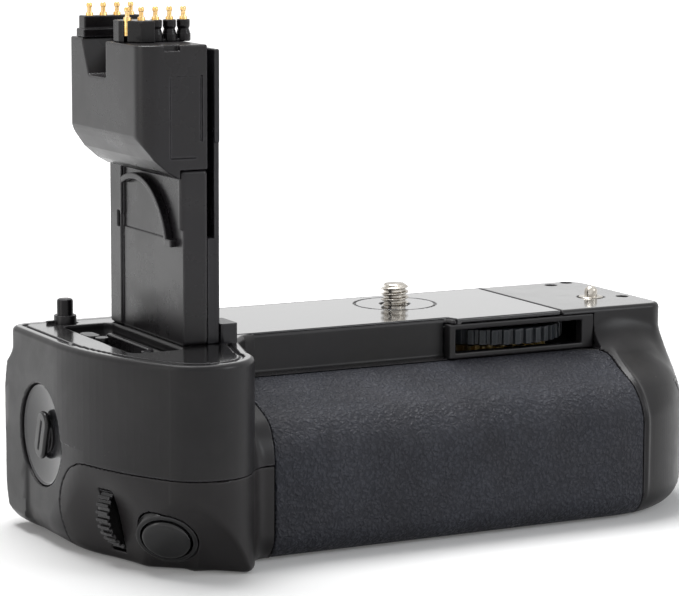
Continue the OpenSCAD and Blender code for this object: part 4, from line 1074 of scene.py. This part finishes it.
# Points of a solid that are closer than this, in metres, become one
WELD = 2e-6
for name, (finish, edge) in CARRIED.items():
    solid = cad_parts[name]
    solid.data.materials.clear()
    solid.data.materials.append(FINISH[finish])
    solid.modifiers.new("weld", "WELD").merge_threshold = WELD
    if edge:
        soften = solid.modifiers.new("soften", "BEVEL")
        soften.width = edge*MM
        soften.segments = 2
        soften.limit_method = "ANGLE"
        soften.angle_limit = radians(35)
        soften.use_clamp_overlap = True
        soften.harden_normals = True

# Floor, light and camera


def pale_floor():
    mesh = bpy.data.meshes.new("floor")
    size = 3.0
    mesh.from_pydata([(-size, -size, 0), (size, -size, 0), (size, size, 0), (-size, size, 0)], [],
                     [(0, 1, 2, 3)])
    floor = in_scene("floor", mesh)
    made, tree, shader = material("floor_paper")
    wide = ramp(noise(6.0, 3.0, places(tree)), 0.3, 0.7)
    ray = node(tree, "LightPath").outputs
    seen = maths("MAXIMUM", ray["Is Camera Ray"], ray["Is Glossy Ray"])
    far = node(tree, "VectorMath", {"operation": "LENGTH"}, i0=places(tree)).outputs["Value"]
    feed(shader, Base_Color=blend(wide, colour("#f1f1f1"), colour("#f4f4f4")), Roughness=0.8,
         Specular_IOR_Level=0.2, Emission_Color=(1, 1, 1, 1),
         Emission_Strength=times(seen, ramp(far, 0.16, 0.5, 0.1, 1.0)))
    mesh.materials.append(made)


def softbox(name, place, aim, size, power, tint=(1, 1, 1)):
    lamp = bpy.data.lights.new(name, "AREA")
    lamp.shape = "RECTANGLE"
    lamp.size, lamp.size_y = size
    lamp.energy = power
    lamp.color = tint
    holder = in_scene(name, lamp)
    holder.location = place
    holder.rotation_euler = (Vector(aim) - Vector(place)).to_track_quat("-Z", "Y").to_euler()


def white_world():
    world = bpy.data.worlds.new("studio")
    bpy.context.scene.world = world
    world.use_nodes = True
    tree = world.node_tree
    out, soft = tree.nodes["World Output"], tree.nodes["Background"]
    feed(soft, Color=(1.0, 1.0, 1.0, 1.0), Strength=0.2)
    white = node(tree, "Background", None, Color=(1, 1, 1, 1), Strength=1.0)
    ray = node(tree, "LightPath").outputs
    seen = maths("MAXIMUM", ray["Is Camera Ray"],
                 maths("MAXIMUM", ray["Is Glossy Ray"], ray["Is Transmission Ray"]))
    mix = node(tree, "MixShader", None, i0=seen, i1=soft.outputs[0], i2=white.outputs[0])
    feed(out, Surface=mix.outputs[0])


# Size of the picture in pixels, and width of the camera's sensor in mm
WIDE, HIGH, SENSOR = 679, 596, 36.0


def camera(azimuth, pitch, roll, focal, target, distance, centre):
    """A camera from its angles in degrees, focal length and centre in pixels, and target in mm."""
    az, down, tilt = (radians(a) for a in (azimuth, pitch, roll))
    look = Vector((sin(az)*cos(down), cos(az)*cos(down), -sin(down)))
    level = Vector((cos(az), -sin(az), 0.0))
    up = level.cross(look)
    right = cos(tilt)*level + sin(tilt)*up
    top = -sin(tilt)*level + cos(tilt)*up
    place = (Vector(target) - distance*look)*MM
    lens = bpy.data.cameras.new("camera")
    lens.sensor_width = SENSOR
    lens.lens = focal/WIDE*SENSOR
    lens.shift_x = (WIDE/2 - centre[0])/WIDE
    lens.shift_y = (centre[1] - HIGH/2)/WIDE
    lens.clip_start, lens.clip_end = 0.05, 20.0
    holder = in_scene("camera", lens)
    holder.matrix_world = Matrix([*zip(right, top, -look, place), (0, 0, 0, 1)])
    bpy.context.scene.camera = holder


pale_floor()
white_world()
softbox("overhead", (-0.05, 0.2, 0.7), (0, 0, 0.04), (0.5, 0.35), 5.5)
softbox("left_fill", (-0.75, -0.05, 0.3), (0, 0, 0.05), (0.3, 0.5), 0.8, (1.0, 0.97, 0.94))
softbox("right_fill", (0.55, -0.6, 0.5), (0.02, 0, 0.03), (0.3, 0.4), 2.1, (0.94, 0.97, 1.0))
camera(27.58, 8.84, 0.215, 2886.9, (-6.20, 6.26, 48.76), 643.5, (338.2, 299.7))

bpy.context.scene.view_settings.view_transform = "Standard"
